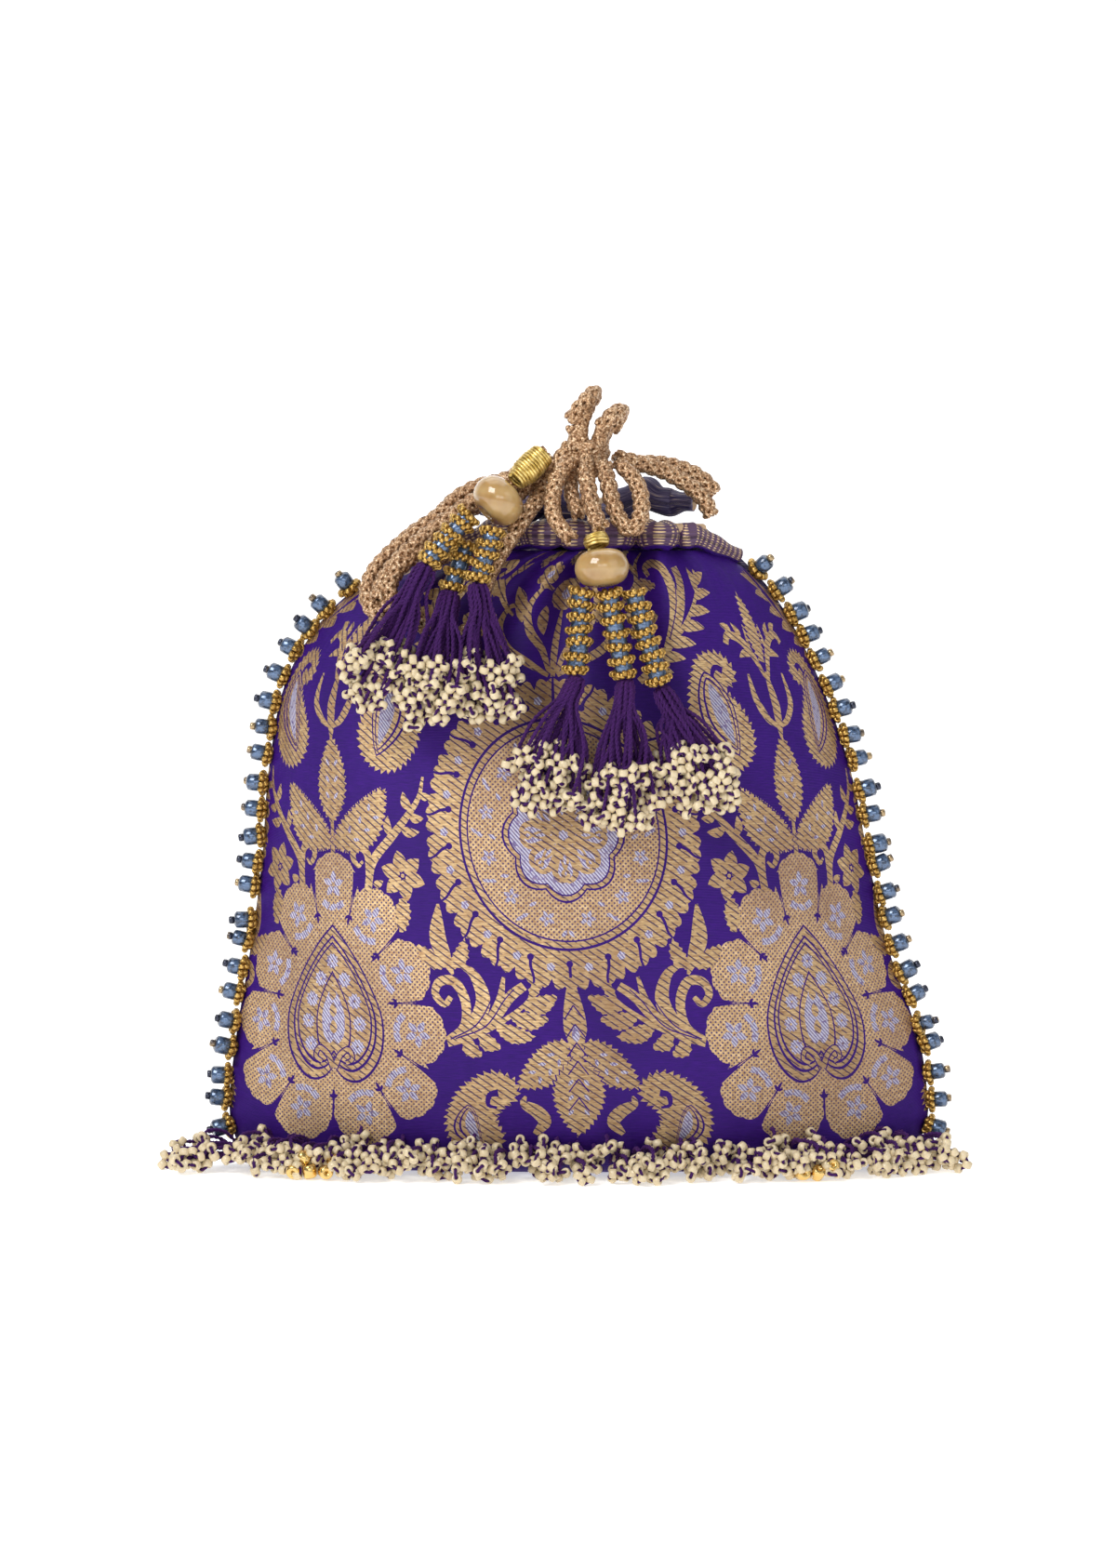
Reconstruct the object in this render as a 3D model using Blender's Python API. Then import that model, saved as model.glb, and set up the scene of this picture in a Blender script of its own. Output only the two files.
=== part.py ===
"""Potli bag: a drawstring pouch of brocade with a beaded edging, a beaded bottom fringe and two tassels.

The outline is worked out in millimetres and written to the meshes in metres. X runs across the bag, -Y is
the front, +Z is up, and the origin is the middle of the base, on the surface that the bag stands on.
"""

import math

import bmesh
import bpy
from mathutils import Matrix, Vector

MM = 0.001
GAP = 0.3                    # left between pieces that meet
CLOTH = 1.5                  # wall of a panel: brocade, interlining and lining together
PANEL_WIDTH = 228.0          # flat width of one panel, seam to seam
CORD = 4.8                   # braided drawstring
CASING_WIDE = 4.6            # half sizes of the hem tube that the drawstring runs in
CASING_TALL = 5.4
CASING_WALL = 1.3
HIDDEN_CORD = 3.6            # drawstring pressed flat inside the casing
PICOT_PITCH = 8.6            # one bead picot of the side edging
RING_RADIUS = 3.5            # ring of gold beads on a tassel strand
BEAD_RADIUS = 2.4            # blue bead between two rings
STONE_RADIUS = 8.1
STONE_HALF = 5.5
FRINGE_TASSELS = 9
FRINGE_LENGTH = 23.0

# Rows of a panel, from the bottom seam to the hem:
# cloth length, middle depth, middle height, left seam x and z, right seam x and z.
FRONT_ROWS = (
    (0, 0, 0, -98, 1.5, 98, 1.5),
    (14, 15, 0, -102, 5, 102, 5),
    (24, 23, 3.2, -104.5, 10.5, 104.5, 10.5),
    (33, 28, 11.5, -105.6, 18, 105.8, 17),
    (57, 34, 34.5, -103.5, 39, 103, 38),
    (87, 37, 65, -99, 66, 93.5, 66),
    (112, 37, 90, -95.5, 92, 87.8, 91),
    (142, 34, 120, -93, 122, 81.5, 121),
    (172, 29, 150, -86.5, 150, 71, 150),
    (193, 24.5, 170.5, -70, 172, 61, 168),
    (206, 20, 182, -50, 181, 51, 179),
    (212, 17.5, 186, -33, 185.5, 43, 185),
)
BACK_ROWS = FRONT_ROWS[:-3] + (
    (193, 24, 172, -70, 172, 59, 172),
    (208, 18.5, 187, -48, 184.5, 46, 186),
    (215, 14.5, 193.5, -33, 190, 38, 192.5),
)


def colour(name, rgb, roughness=0.6, metallic=0.0):
    """One Principled material."""
    made = bpy.data.materials.new(name)
    made.use_nodes = True
    shader = made.node_tree.nodes["Principled BSDF"]
    shader.inputs["Base Color"].default_value = (*rgb, 1)
    shader.inputs["Roughness"].default_value = roughness
    shader.inputs["Metallic"].default_value = metallic
    made.diffuse_color = (*rgb, 1)
    return made


def solid(name, points, faces, material, smooth=True):
    """An object from millimetre points, its faces turned outwards."""
    mesh = bpy.data.meshes.new(name)
    mesh.from_pydata([Vector(p) * MM for p in points], [], faces)
    shape = bmesh.new()
    shape.from_mesh(mesh)
    bmesh.ops.recalc_face_normals(shape, faces=shape.faces)
    shape.to_mesh(mesh)
    shape.free()
    mesh.materials.append(material)
    if smooth:
        mesh.shade_smooth()
        mesh.set_sharp_from_angle(angle=math.radians(40))
    made = bpy.data.objects.new(name, mesh)
    bpy.context.collection.objects.link(made)
    return made


def between(rows, along):
    """The values of a table of rows at this cloth length, on a smooth curve through the rows."""
    last = len(rows) - 2
    i = next((k for k in range(last) if along < rows[k + 1][0]), last)
    a, b = rows[i], rows[i + 1]
    before = rows[max(i - 1, 0)]
    after = rows[min(i + 2, len(rows) - 1)]
    span = b[0] - a[0]
    f = (along - a[0]) / span
    values = []
    for k in range(1, len(a)):
        slope_a = (b[k] - before[k]) / (b[0] - before[0]) * span
        slope_b = (after[k] - a[k]) / (after[0] - a[0]) * span
        values.append(
            (2 * f**3 - 3 * f**2 + 1) * a[k]
            + (f**3 - 2 * f**2 + f) * slope_a
            + (3 * f**2 - 2 * f**3) * b[k]
            + (f**3 - f**2) * slope_b
        )
    return values


def arc_angle(half_width):
    """Half angle of the arc whose length is half the panel and whose half chord is half_width, held to a quarter turn."""
    low, high = 0.01, 1.35
    for _ in range(30):
        middle = (low + high) / 2
        if middle / math.sin(middle) < PANEL_WIDTH / 2 / half_width:
            low = middle
        else:
            high = middle
    return low


def panel_point(rows, across, along, side, inset=0.0):
    """A point of a panel: across from -1 at the left seam to 1 at the right, along the cloth from the
    bottom seam. side is -1 for the front and 1 for the back, and inset goes in from the outer face."""
    depth, height, left_x, left_z, right_x, right_z = between(rows, along)
    middle = (left_x + right_x) / 2
    half = (right_x - left_x) / 2
    angle = arc_angle(half)
    share = math.sin(angle * across) / math.sin(angle)
    bulge = (math.cos(angle * across) - math.cos(angle)) / (1 - math.cos(angle))
    seam_z = left_z if across < 0 else right_z
    z = max(height + (seam_z - height) * abs(across) ** 8, 0)
    x = middle + share * (half - inset * 1.6)
    y = side * (GAP / 2 + max(depth - inset, 0) * bulge)
    lift = inset * (1 - min(max(along - 14, 0) / 30, 1)) * (1 - abs(across) ** 8 * 0.5)
    return Vector((x, y, z + lift))


def panel(name, rows, side, material):
    """One panel as a shell: an outer and an inner sheet, joined along the seams and the hem."""
    columns = 20
    alongs = [0, 7, 14, 19, 24, 33, 45, 57, 72, 87, 100, 112, 127, 142, 157, 172, 183, 193, 202]
    alongs.append(rows[-1][0])
    sheets = []
    for inset in (0.0, CLOTH):
        sheets.append([
            [panel_point(rows, 2 * i / columns - 1, along, side, inset) for i in range(columns + 1)]
            for along in alongs
        ])
    points = [p for sheet in sheets for row in sheet for p in row]
    wide = columns + 1
    rows_count = len(alongs)
    inner = rows_count * wide
    faces = []
    for j in range(rows_count - 1):
        for i in range(columns):
            corner = j * wide + i
            faces.append((corner, corner + 1, corner + wide + 1, corner + wide))
            faces.append(tuple(inner + k for k in (corner + wide, corner + wide + 1, corner + 1, corner)))
    rim = [i for i in range(wide)]
    rim += [j * wide + columns for j in range(1, rows_count)]
    rim += [(rows_count - 1) * wide + i for i in range(columns - 1, -1, -1)]
    rim += [j * wide for j in range(rows_count - 2, 0, -1)]
    for a, b in zip(rim, rim[1:] + rim[:1]):
        faces.append((b, a, inner + a, inner + b))
    return solid(name, points, faces, material)


def smooth_line(points, step):
    """Points about step apart on a smooth curve through these."""
    line = [Vector(p) for p in points]
    ends = [2 * line[0] - line[1], *line, 2 * line[-1] - line[-2]]
    found = [line[0]]
    for i in range(1, len(ends) - 2):
        p0, p1, p2, p3 = ends[i - 1:i + 3]
        count = max(1, round((p2 - p1).length / step))
        for k in range(1, count + 1):
            f = k / count
            found.append(
                0.5 * (2 * p1 + (p2 - p0) * f + (2 * p0 - 5 * p1 + 4 * p2 - p3) * f * f
                       + (3 * p1 - p0 - 3 * p2 + p3) * f**3)
            )
    return found


def hem_tube(name, line, material):
    """The casing: a hollow tube of flattened section along the hem, open at both ends."""
    sides = 10
    rings = []
    for shrink in (0.0, CASING_WALL):
        for i, point in enumerate(line):
            ahead = (line[min(i + 1, len(line) - 1)] - line[max(i - 1, 0)]).normalized()
            out = ahead.cross(Vector((0, 0, 1))).normalized()
            up = out.cross(ahead)
            rings.append([
                point + out * math.cos(a) * (CASING_WIDE - shrink) + up * math.sin(a) * (CASING_TALL - shrink)
                for a in (2 * math.pi * k / sides for k in range(sides))
            ])
    count = len(line)
    points = [p for ring in rings for p in ring]
    faces = []
    for k in range(sides):
        n = (k + 1) % sides
        for i in range(count - 1):
            outer = i * sides
            inner = (count + i) * sides
            faces.append((outer + k, outer + n, outer + sides + n, outer + sides + k))
            faces.append((inner + n, inner + k, inner + sides + k, inner + sides + n))
        for i in (0, count - 1):
            outer = i * sides
            inner = (count + i) * sides
            faces.append((outer + k, outer + n, inner + n, inner + k))
    return solid(name, points, faces, material)


def cord_tube(name, route, diameter, material, step=2.0):
    """A cord of round section with closed ends, as a curve object."""
    line = smooth_line(route, step * diameter)
    curve = bpy.data.curves.new(name, "CURVE")
    curve.dimensions = "3D"
    curve.bevel_depth = diameter / 2 * MM
    curve.bevel_resolution = 2
    curve.use_fill_caps = True
    spline = curve.splines.new("POLY")
    spline.points.add(len(line) - 1)
    for point, place in zip(spline.points, line):
        point.co = (*(place * MM), 1)
    curve.materials.append(material)
    made = bpy.data.objects.new(name, curve)
    bpy.context.collection.objects.link(made)
    return made


def turned(name, profile, start, end, material, sides=10, squash=1.0):
    """A turned solid on the line from start towards end. The profile is (radius, distance) pairs, its
    ends closed to the axis, and squash narrows it from front to back."""
    start = Vector(start)
    ahead = (Vector(end) - start).normalized()
    across = ahead.cross(Vector((0, 1, 0))).normalized()
    front = across.cross(ahead)
    points = [start + ahead * profile[0][1]]
    for radius, distance in profile:
        for k in range(sides):
            a = 2 * math.pi * k / sides
            points.append(
                start + ahead * distance + across * radius * math.cos(a) + front * radius * squash * math.sin(a)
            )
    points.append(start + ahead * profile[-1][1])
    last = len(points) - 1
    faces = []
    for k in range(sides):
        n = (k + 1) % sides
        faces.append((0, 1 + n, 1 + k))
        for i in range(len(profile) - 1):
            low = 1 + i * sides
            faces.append((low + k, low + n, low + sides + n, low + sides + k))
        low = 1 + (len(profile) - 1) * sides
        faces.append((low + k, low + n, last))
    return solid(name, points, faces, material)


def edging(name, side_sign, material):
    """The side edging as one toothed strip: rings of gold beads along the seam, each with a picot."""
    rows = BACK_ROWS
    reach = 1.0 if side_sign > 0 else -1.0
    top = 206 if side_sign > 0 else 197
    line = [panel_point(rows, reach, along, 1) for along in range(2, top, 2)]
    lengths = [0.0]
    for a, b in zip(line, line[1:]):
        lengths.append(lengths[-1] + (b - a).length)
    outline_out = []
    outline_in = []
    count = int(lengths[-1] / PICOT_PITCH)
    pitch = lengths[-1] / count
    tooth = ((0.06, 1.2), (0.12, 2.9), (0.27, 2.9), (0.32, 8.2), (0.42, 9.0), (0.46, 11.0),
             (0.54, 11.0), (0.58, 9.0), (0.68, 8.2), (0.73, 2.9), (0.88, 2.9), (0.94, 1.2))

    def at(length):
        i = next((k for k in range(len(line) - 2) if lengths[k + 1] > length), len(line) - 2)
        f = (length - lengths[i]) / (lengths[i + 1] - lengths[i])
        point = line[i].lerp(line[i + 1], f)
        ahead = (line[min(i + 2, len(line) - 1)] - line[max(i - 1, 0)]).normalized()
        out = Vector((0, side_sign, 0)).cross(Vector((ahead.x, 0, ahead.z)))
        down = max(out.normalized().z, -max(point.z - GAP, 0) / 12.2)
        return Vector((point.x, 0, point.z)), Vector((side_sign * math.sqrt(1 - down * down), 0, down))

    for picot in range(count):
        for share, reach_out in tooth:
            point, out = at((picot + share) * pitch)
            outline_out.append(point + out * (reach_out + 3 * GAP))
        for share in (0.1, 0.5, 0.9):
            point, out = at((picot + share) * pitch)
            outline_in.append(point + out * 3 * GAP)
    outline = outline_out + outline_in[::-1]
    half_thick = 2.0
    points = [p + Vector((0, y, 0)) for y in (-half_thick, half_thick) for p in outline]
    n = len(outline)
    faces = [tuple(range(n)), tuple(range(2 * n - 1, n - 1, -1))]
    faces += [(i, (i + 1) % n, n + (i + 1) % n, n + i) for i in range(n)]
    return solid(name, points, faces, material, smooth=False)


def strand_profile(length):
    """Profile of a beaded strand: rings of gold beads with a blue bead showing between each two."""
    rings = max(3, round((length - 3) / 4.4))
    pitch = (length - 3) / rings
    profile = [(1.4, 0.0), (BEAD_RADIUS, 1.0)]
    for k in range(rings):
        base = 3 + k * pitch
        profile += [(BEAD_RADIUS, base - 0.2), (RING_RADIUS, base + 0.3), (RING_RADIUS, base + 1.9)]
        if k < rings - 1:
            profile.append((BEAD_RADIUS, base + 2.4))
    profile.append((2.4, 3 + (rings - 1) * pitch + 2.4))
    return profile


def tassel(letter, neck, stone, strands, skirts, clusters, looks):
    """One tassel: a neck wound with gold thread, a stone bead, beaded strands, thread skirts and bead clusters."""
    name = f"tassel_{letter}_"
    start, end = (Vector(p) for p in neck)
    long = (end - start).length
    wound = [(3.2, 0.0), (3.9, 0.8), (4.3, long * 0.4), (4.0, long * 0.7), (4.4, long - 0.6), (3.6, long)]
    turned(name + "neck", wound, start, end, looks["wound"], sides=12)
    centre, axis = Vector(stone[0]), Vector(stone[1]).normalized()
    steps = 8
    stone_profile = []
    for k in range(1, steps):
        angle = math.pi * k / steps
        stone_profile.append((STONE_RADIUS * math.sin(angle) ** 0.8, STONE_HALF * (1 - math.cos(angle))))
    turned(name + "stone_bead", stone_profile, centre - axis * STONE_HALF, centre, looks["stone"], sides=16)
    for k, (top, foot) in enumerate(strands, 1):
        length = (Vector(foot) - Vector(top)).length
        turned(f"{name}strand_{k}", strand_profile(length), top, foot, looks["gold"], sides=10)
    for k, (head, hem, width) in enumerate(skirts, 1):
        length = (Vector(hem) - Vector(head)).length
        skirt = [(2.2, 0.0), (3.6, 1.5), (3.8, 4.5), (3.4, 6.0), (width * 0.36, length * 0.45),
                 (width * 0.5, length * 0.96), (width * 0.44, length)]
        turned(f"{name}threads_{k}", skirt, head, hem, looks["thread"], sides=10, squash=0.42)
    for k, (centre, width, height) in enumerate(clusters, 1):
        rim = [(width * 0.30, 0.0), (width * 0.46, height * 0.16), (width * 0.5, height * 0.5),
               (width * 0.42, height * 0.84), (width * 0.22, height)]
        top = Vector(centre) + Vector((0, 0, height / 2))
        turned(f"{name}seed_beads_{k}", rim, top, Vector(centre), looks["cream"], sides=12, squash=0.42)


def fringe_tassel(name, root, tip, width, material):
    """One tassel of the bottom fringe: threads from the seam to a heap of seed beads on the ground."""
    length = (tip - root).length
    ahead = (tip - root).normalized()
    across = Vector((-ahead.y, ahead.x, 0))
    sections = ((0.0, 0.5, 2.2, 0.0), (0.35, 0.72, 3.4, 0.0), (0.5, 0.95, 8.0, 0.0),
                (0.72, 1.0, 10.5, 0.0), (0.92, 0.92, 7.5, 0.0), (1.0, 0.7, 3.2, 0.0))
    shape = ((-0.5, 0.0), (0.5, 0.0), (0.46, 0.55), (0.26, 1.0), (-0.26, 1.0), (-0.46, 0.55))
    points = []
    for share, wide, tall, base in sections:
        middle = root + ahead * length * share
        points += [middle + across * u * wide * width + Vector((0, 0, base + v * tall)) for u, v in shape]
    n = len(shape)
    faces = [tuple(range(n)), tuple(range(len(points) - 1, len(points) - 1 - n, -1))]
    for j in range(len(sections) - 1):
        for k in range(n):
            a, b = j * n + k, j * n + (k + 1) % n
            faces.append((a, b, b + n, a + n))
    return solid(name, points, faces, material)


def main():
    for old in list(bpy.data.objects):
        bpy.data.objects.remove(old)
    looks = {
        "brocade": colour("brocade", (0.10, 0.03, 0.32), 0.55),
        "hem": colour("hem_facing", (0.45, 0.33, 0.22), 0.5, 0.3),
        "cord": colour("metallic_cord", (0.52, 0.36, 0.22), 0.4, 0.6),
        "wound": colour("wound_thread", (0.72, 0.54, 0.20), 0.35, 0.7),
        "stone": colour("honey_stone", (0.78, 0.60, 0.30), 0.2),
        "gold": colour("gold_seed_beads", (0.60, 0.42, 0.12), 0.25, 0.8),
        "thread": colour("purple_thread", (0.13, 0.03, 0.25), 0.8),
        "cream": colour("cream_seed_beads", (0.80, 0.72, 0.52), 0.4),
    }
    panel("front_panel", FRONT_ROWS, -1, looks["brocade"])
    panel("back_panel", BACK_ROWS, 1, looks["brocade"])

    # The hems: each casing is a tube along the top of its panel, with the drawstring inside it.
    rise = Vector((0, 0, CASING_TALL + GAP + 0.4))
    for name, rows, side, ends in (("front", FRONT_ROWS, -1, 0.72), ("back", BACK_ROWS, 1, 0.80)):
        hem = [
            panel_point(rows, ends * (2 * i / 12 - 1), rows[-1][0], side) + rise - Vector((0, side * 0.8, 0))
            for i in range(13)
        ]
        hem_tube("casing_" + name, hem, looks["hem"])
        inner = hem[:1] + hem[2:-2:2] + hem[-1:]
        cord_tube("drawstring_in_casing_" + name, inner, HIDDEN_CORD, looks["cord"], step=1.5)
    for name, side_sign in (("left", -1), ("right", 1)):
        edging("bead_edging_" + name, side_sign, looks["gold"])

    # Free stretches of the drawstrings, all of them ending in the knot above the mouth.
    routes = {
        "ear_loop_left": (
            (-9.5, -9, 215), (-15, -9, 210.5), (-22, -9, 206.8), (-30, -8.5, 204.8), (-36.4, -8, 201.3),
            (-42, -8, 196), (-49.3, -8.5, 191), (-55.7, -9.5, 185.5), (-60.3, -12, 180.5),
            (-62.6, -15.5, 175.5), (-62.2, -19, 170.5), (-58.9, -21.5, 167.6), (-56, -21.8, 171),
            (-56, -19.8, 176), (-53.6, -17.6, 180.5), (-49.5, -15.5, 184.2), (-44.6, -14, 188.6),
            (-38.8, -13.3, 193.6), (-33, -13.4, 198), (-27, -14, 200.5), (-19.6, -14.5, 202.4),
            (-13.5, -14.5, 206), (-9.3, -13.6, 209.6)),
        "drawstring_left": (
            (-33.2, -7.6, 187.5), (-37, -12, 186), (-41, -16.5, 184), (-46, -20, 179.5), (-49, -23.5, 174),
            (-48.6, -26.5, 168), (-44.5, -29.2, 163), (-38, -31, 161), (-31.8, -31.2, 163.4),
            (-28.6, -29.8, 169), (-27.6, -28.2, 176), (-24.2, -26.6, 183.5), (-19, -24.8, 191.5),
            (-13.6, -21.4, 199.4), (-9.4, -17.4, 205)),
        "drawstring_right": (
            (11.2, -10, 213.4), (18.8, -8.4, 211.6), (26, -6.4, 209.2), (32.6, -5, 205.4),
            (37.4, -4, 200.8), (39.6, -3.4, 196.4)),
        "drawstring_right_rear": (
            (10.6, -3.4, 212.8), (17, -1.4, 211.8), (24.4, 0.6, 211.6), (31.4, 1.6, 210),
            (37, 1.6, 207), (40.8, 1.2, 203)),
        "top_loop_tall": (
            (-2.2, -13.2, 224.5), (0.4, -14.2, 228.2), (3.4, -12, 231.4), (4.6, -8, 232.6), (3.8, -4, 231),
            (1.8, -2.6, 227.4), (-0.4, -3.4, 223.8)),
        "top_loop_short": (
            (6.6, -14.2, 222.4), (9.0, -14.8, 225), (11.6, -12, 227), (12.6, -8, 227), (11.6, -4.6, 225),
            (9.6, -3.6, 221.6)),
        "hanging_strand_1": (
            (-2.8, -20.4, 212.4), (-6.4, -24, 207.6), (-7.8, -27.2, 201.6), (-7.4, -29.6, 196.4),
            (-5, -32, 192.6), (-2.2, -33.6, 189.6)),
        "hanging_strand_2": (
            (1.8, -21.2, 210.4), (2.3, -24.5, 206.4), (3.3, -28.2, 201), (4.7, -31.4, 196.4), (6.6, -33.4, 192.8)),
        "hanging_loop": (
            (7.2, -19.4, 211.6), (8.4, -22.4, 206.6), (9.8, -25.2, 200.6), (12, -27, 195.2),
            (15.4, -27.4, 192.2), (18, -26, 195.8), (18.3, -23.4, 201.4), (16.6, -20.2, 206.8),
            (12.6, -16.4, 211)),
    }
    for name, route in routes.items():
        cord_tube(name, route, CORD, looks["cord"], step=0.8)
    knot = [(2.2, 0.0), (4.8, 1.4), (6.2, 4.6), (6.8, 8.0), (6.4, 11.4), (4.8, 14.6), (2.2, 16.0)]
    turned("bow_knot", knot, (2.0, -1.9, 215.2), (2.0, -17.9, 214.2), looks["cord"], sides=12)

    # Tassel A lies on the left shoulder, and tassel B hangs in the middle of the front.
    tassel(
        "a",
        ((-10.8, -21.8, 214.4), (-19.6, -25.8, 205.6)),
        ((-23.8, -28, 200.9), (-10, -3.8, -9.6)),
        (((-32.8, -31.6, 196.6), (-44.6, -33.9, 182.4)), ((-25.4, -33.4, 191.6), (-29.6, -36.2, 177.4)),
         ((-33.4, -27.4, 187.6), (-37.6, -30.4, 174.6))),
        (((-45.1, -34.0, 181.8), (-56.6, -35.2, 159.8), 19), ((-29.9, -36.4, 176.4), (-26.6, -38.4, 157.6), 15),
         ((-37.9, -31.0, 173.6), (-41.8, -39.8, 157.2), 13)),
        (((-61.2, -35.4, 145.2), 21, 22), ((-25.4, -38.8, 145.2), 19, 20), ((-43.0, -41.4, 142.2), 15, 22)),
        looks,
    )
    tassel(
        "b",
        ((4.6, -35.6, 190.6), (5.4, -36.4, 187.6)),
        ((6.6, -37.4, 181.4), (1.2, -1.4, -12)),
        (((0.8, -39.6, 174.4), (-1.0, -41, 150.6)), ((8.4, -40.8, 173.8), (13.2, -41.2, 149.4)),
         ((16.0, -39.2, 173.6), (23.6, -40.2, 147.4))),
        (((-1.2, -41.1, 149.6), (-9.8, -43.2, 133.2), 19), ((13.5, -41.3, 148.4), (11.7, -44, 128.4), 19),
         ((24.2, -40.3, 146.2), (33.4, -41.6, 131.4), 19)),
        (((-11.2, -43.8, 118.4), 21, 22), ((11.6, -44.6, 114.6), 22, 23), ((35.6, -42.0, 117.0), 21, 21)),
        looks,
    )

    # The bottom fringe: tassels that come out from under the front and fan out on the ground.
    for k in range(FRINGE_TASSELS):
        across = 0.93 * (2 * k / (FRINGE_TASSELS - 1) - 1)
        root = panel_point(FRONT_ROWS, across, 21, -1)
        fan = math.radians(46) * across
        root = Vector((root.x, root.y - 1.4, 0))
        tip = root + Vector((math.sin(fan), -math.cos(fan), 0)) * FRINGE_LENGTH
        fringe_tassel(f"fringe_tassel_{k + 1}", root, tip, 22.6, looks["cream"])


main()
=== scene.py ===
# %% [markdown]
# # A potli bag, from flat cloth to tied cords
#
# A potli is a small drawstring pouch. This one is two squares of brocade sewn along three sides, edged
# with bead picots, fringed with seed beads below, and gathered on two braided cords whose ends carry
# tassels. Each part is made the way a maker would think of it: the pattern is drawn on flat cloth and
# then carried to the shape of the filled bag, and everything that is strung, braided or wound is real
# geometry, because that is what catches the light on such a bag.

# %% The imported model
import math

import bmesh
import bpy
import numpy as np
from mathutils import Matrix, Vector
from mathutils.geometry import delaunay_2d_cdt


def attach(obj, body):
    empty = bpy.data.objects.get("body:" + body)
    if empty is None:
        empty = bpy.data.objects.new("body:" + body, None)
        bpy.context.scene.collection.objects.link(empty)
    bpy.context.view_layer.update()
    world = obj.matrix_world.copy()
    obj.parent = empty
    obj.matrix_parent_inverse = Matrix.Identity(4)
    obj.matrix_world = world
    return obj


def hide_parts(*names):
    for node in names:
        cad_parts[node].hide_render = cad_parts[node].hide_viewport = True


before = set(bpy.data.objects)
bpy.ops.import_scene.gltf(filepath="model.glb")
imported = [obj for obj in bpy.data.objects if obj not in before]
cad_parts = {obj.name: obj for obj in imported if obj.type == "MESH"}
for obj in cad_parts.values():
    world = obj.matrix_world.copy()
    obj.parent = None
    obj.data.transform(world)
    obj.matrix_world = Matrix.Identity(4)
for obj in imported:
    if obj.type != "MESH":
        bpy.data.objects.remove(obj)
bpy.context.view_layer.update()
MM = 0.001

# %% [markdown]
# ## The camera, the light and the floor
#
# The bag is seen from straight in front and a few degrees above, from far enough away that its sides
# hardly converge. A sweep, a floor that curves up into a wall, gives an even white ground with no horizon.
# Three large soft lights are used rather than one small one: metallic thread and glass beads look alive
# only when there are broad bright shapes for them to mirror.

# %% Camera
CAMERA_DISTANCE = 1.4
CAMERA_TILT = math.radians(4.0)
VIEW_HEIGHT = 0.472
AIM = Vector((-0.0062, 0, 0.1155))

camera_data = bpy.data.cameras.new("camera")
camera_data.sensor_fit = "VERTICAL"
camera_data.angle_y = 2 * math.atan(VIEW_HEIGHT / 2 / CAMERA_DISTANCE)
camera = bpy.data.objects.new("camera", camera_data)
bpy.context.collection.objects.link(camera)
camera.location = AIM + Vector((0, -math.cos(CAMERA_TILT), math.sin(CAMERA_TILT))) * CAMERA_DISTANCE
camera.rotation_euler = (math.radians(90) - CAMERA_TILT, 0, 0)
bpy.context.scene.camera = camera
bpy.context.scene.view_settings.view_transform = "Standard"

# %% [markdown]
# ## Writing shaders as sums
#
# A procedural material is arithmetic on positions. Wiring Math nodes by hand hides that arithmetic, so a
# small class wraps a socket and turns `+`, `-` and `*` into nodes. One method adds any other node.

# %% A material written as expressions
class Value:
    """A shader socket that can be used in a sum."""

    def __init__(self, shader, socket):
        self.shader, self.socket = shader, socket

    def math(self, operation, *others):
        return self.shader.node("ShaderNodeMath", {"operation": operation}, dict(enumerate([self, *others])))

    def __add__(self, other): return self.math("ADD", other)
    def __radd__(self, other): return self.math("ADD", other)
    def __sub__(self, other): return self.math("SUBTRACT", other)
    def __rsub__(self, other): return self.shader.number(other).math("SUBTRACT", self)
    def __mul__(self, other): return self.math("MULTIPLY", other)
    def __rmul__(self, other): return self.math("MULTIPLY", other)


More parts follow.
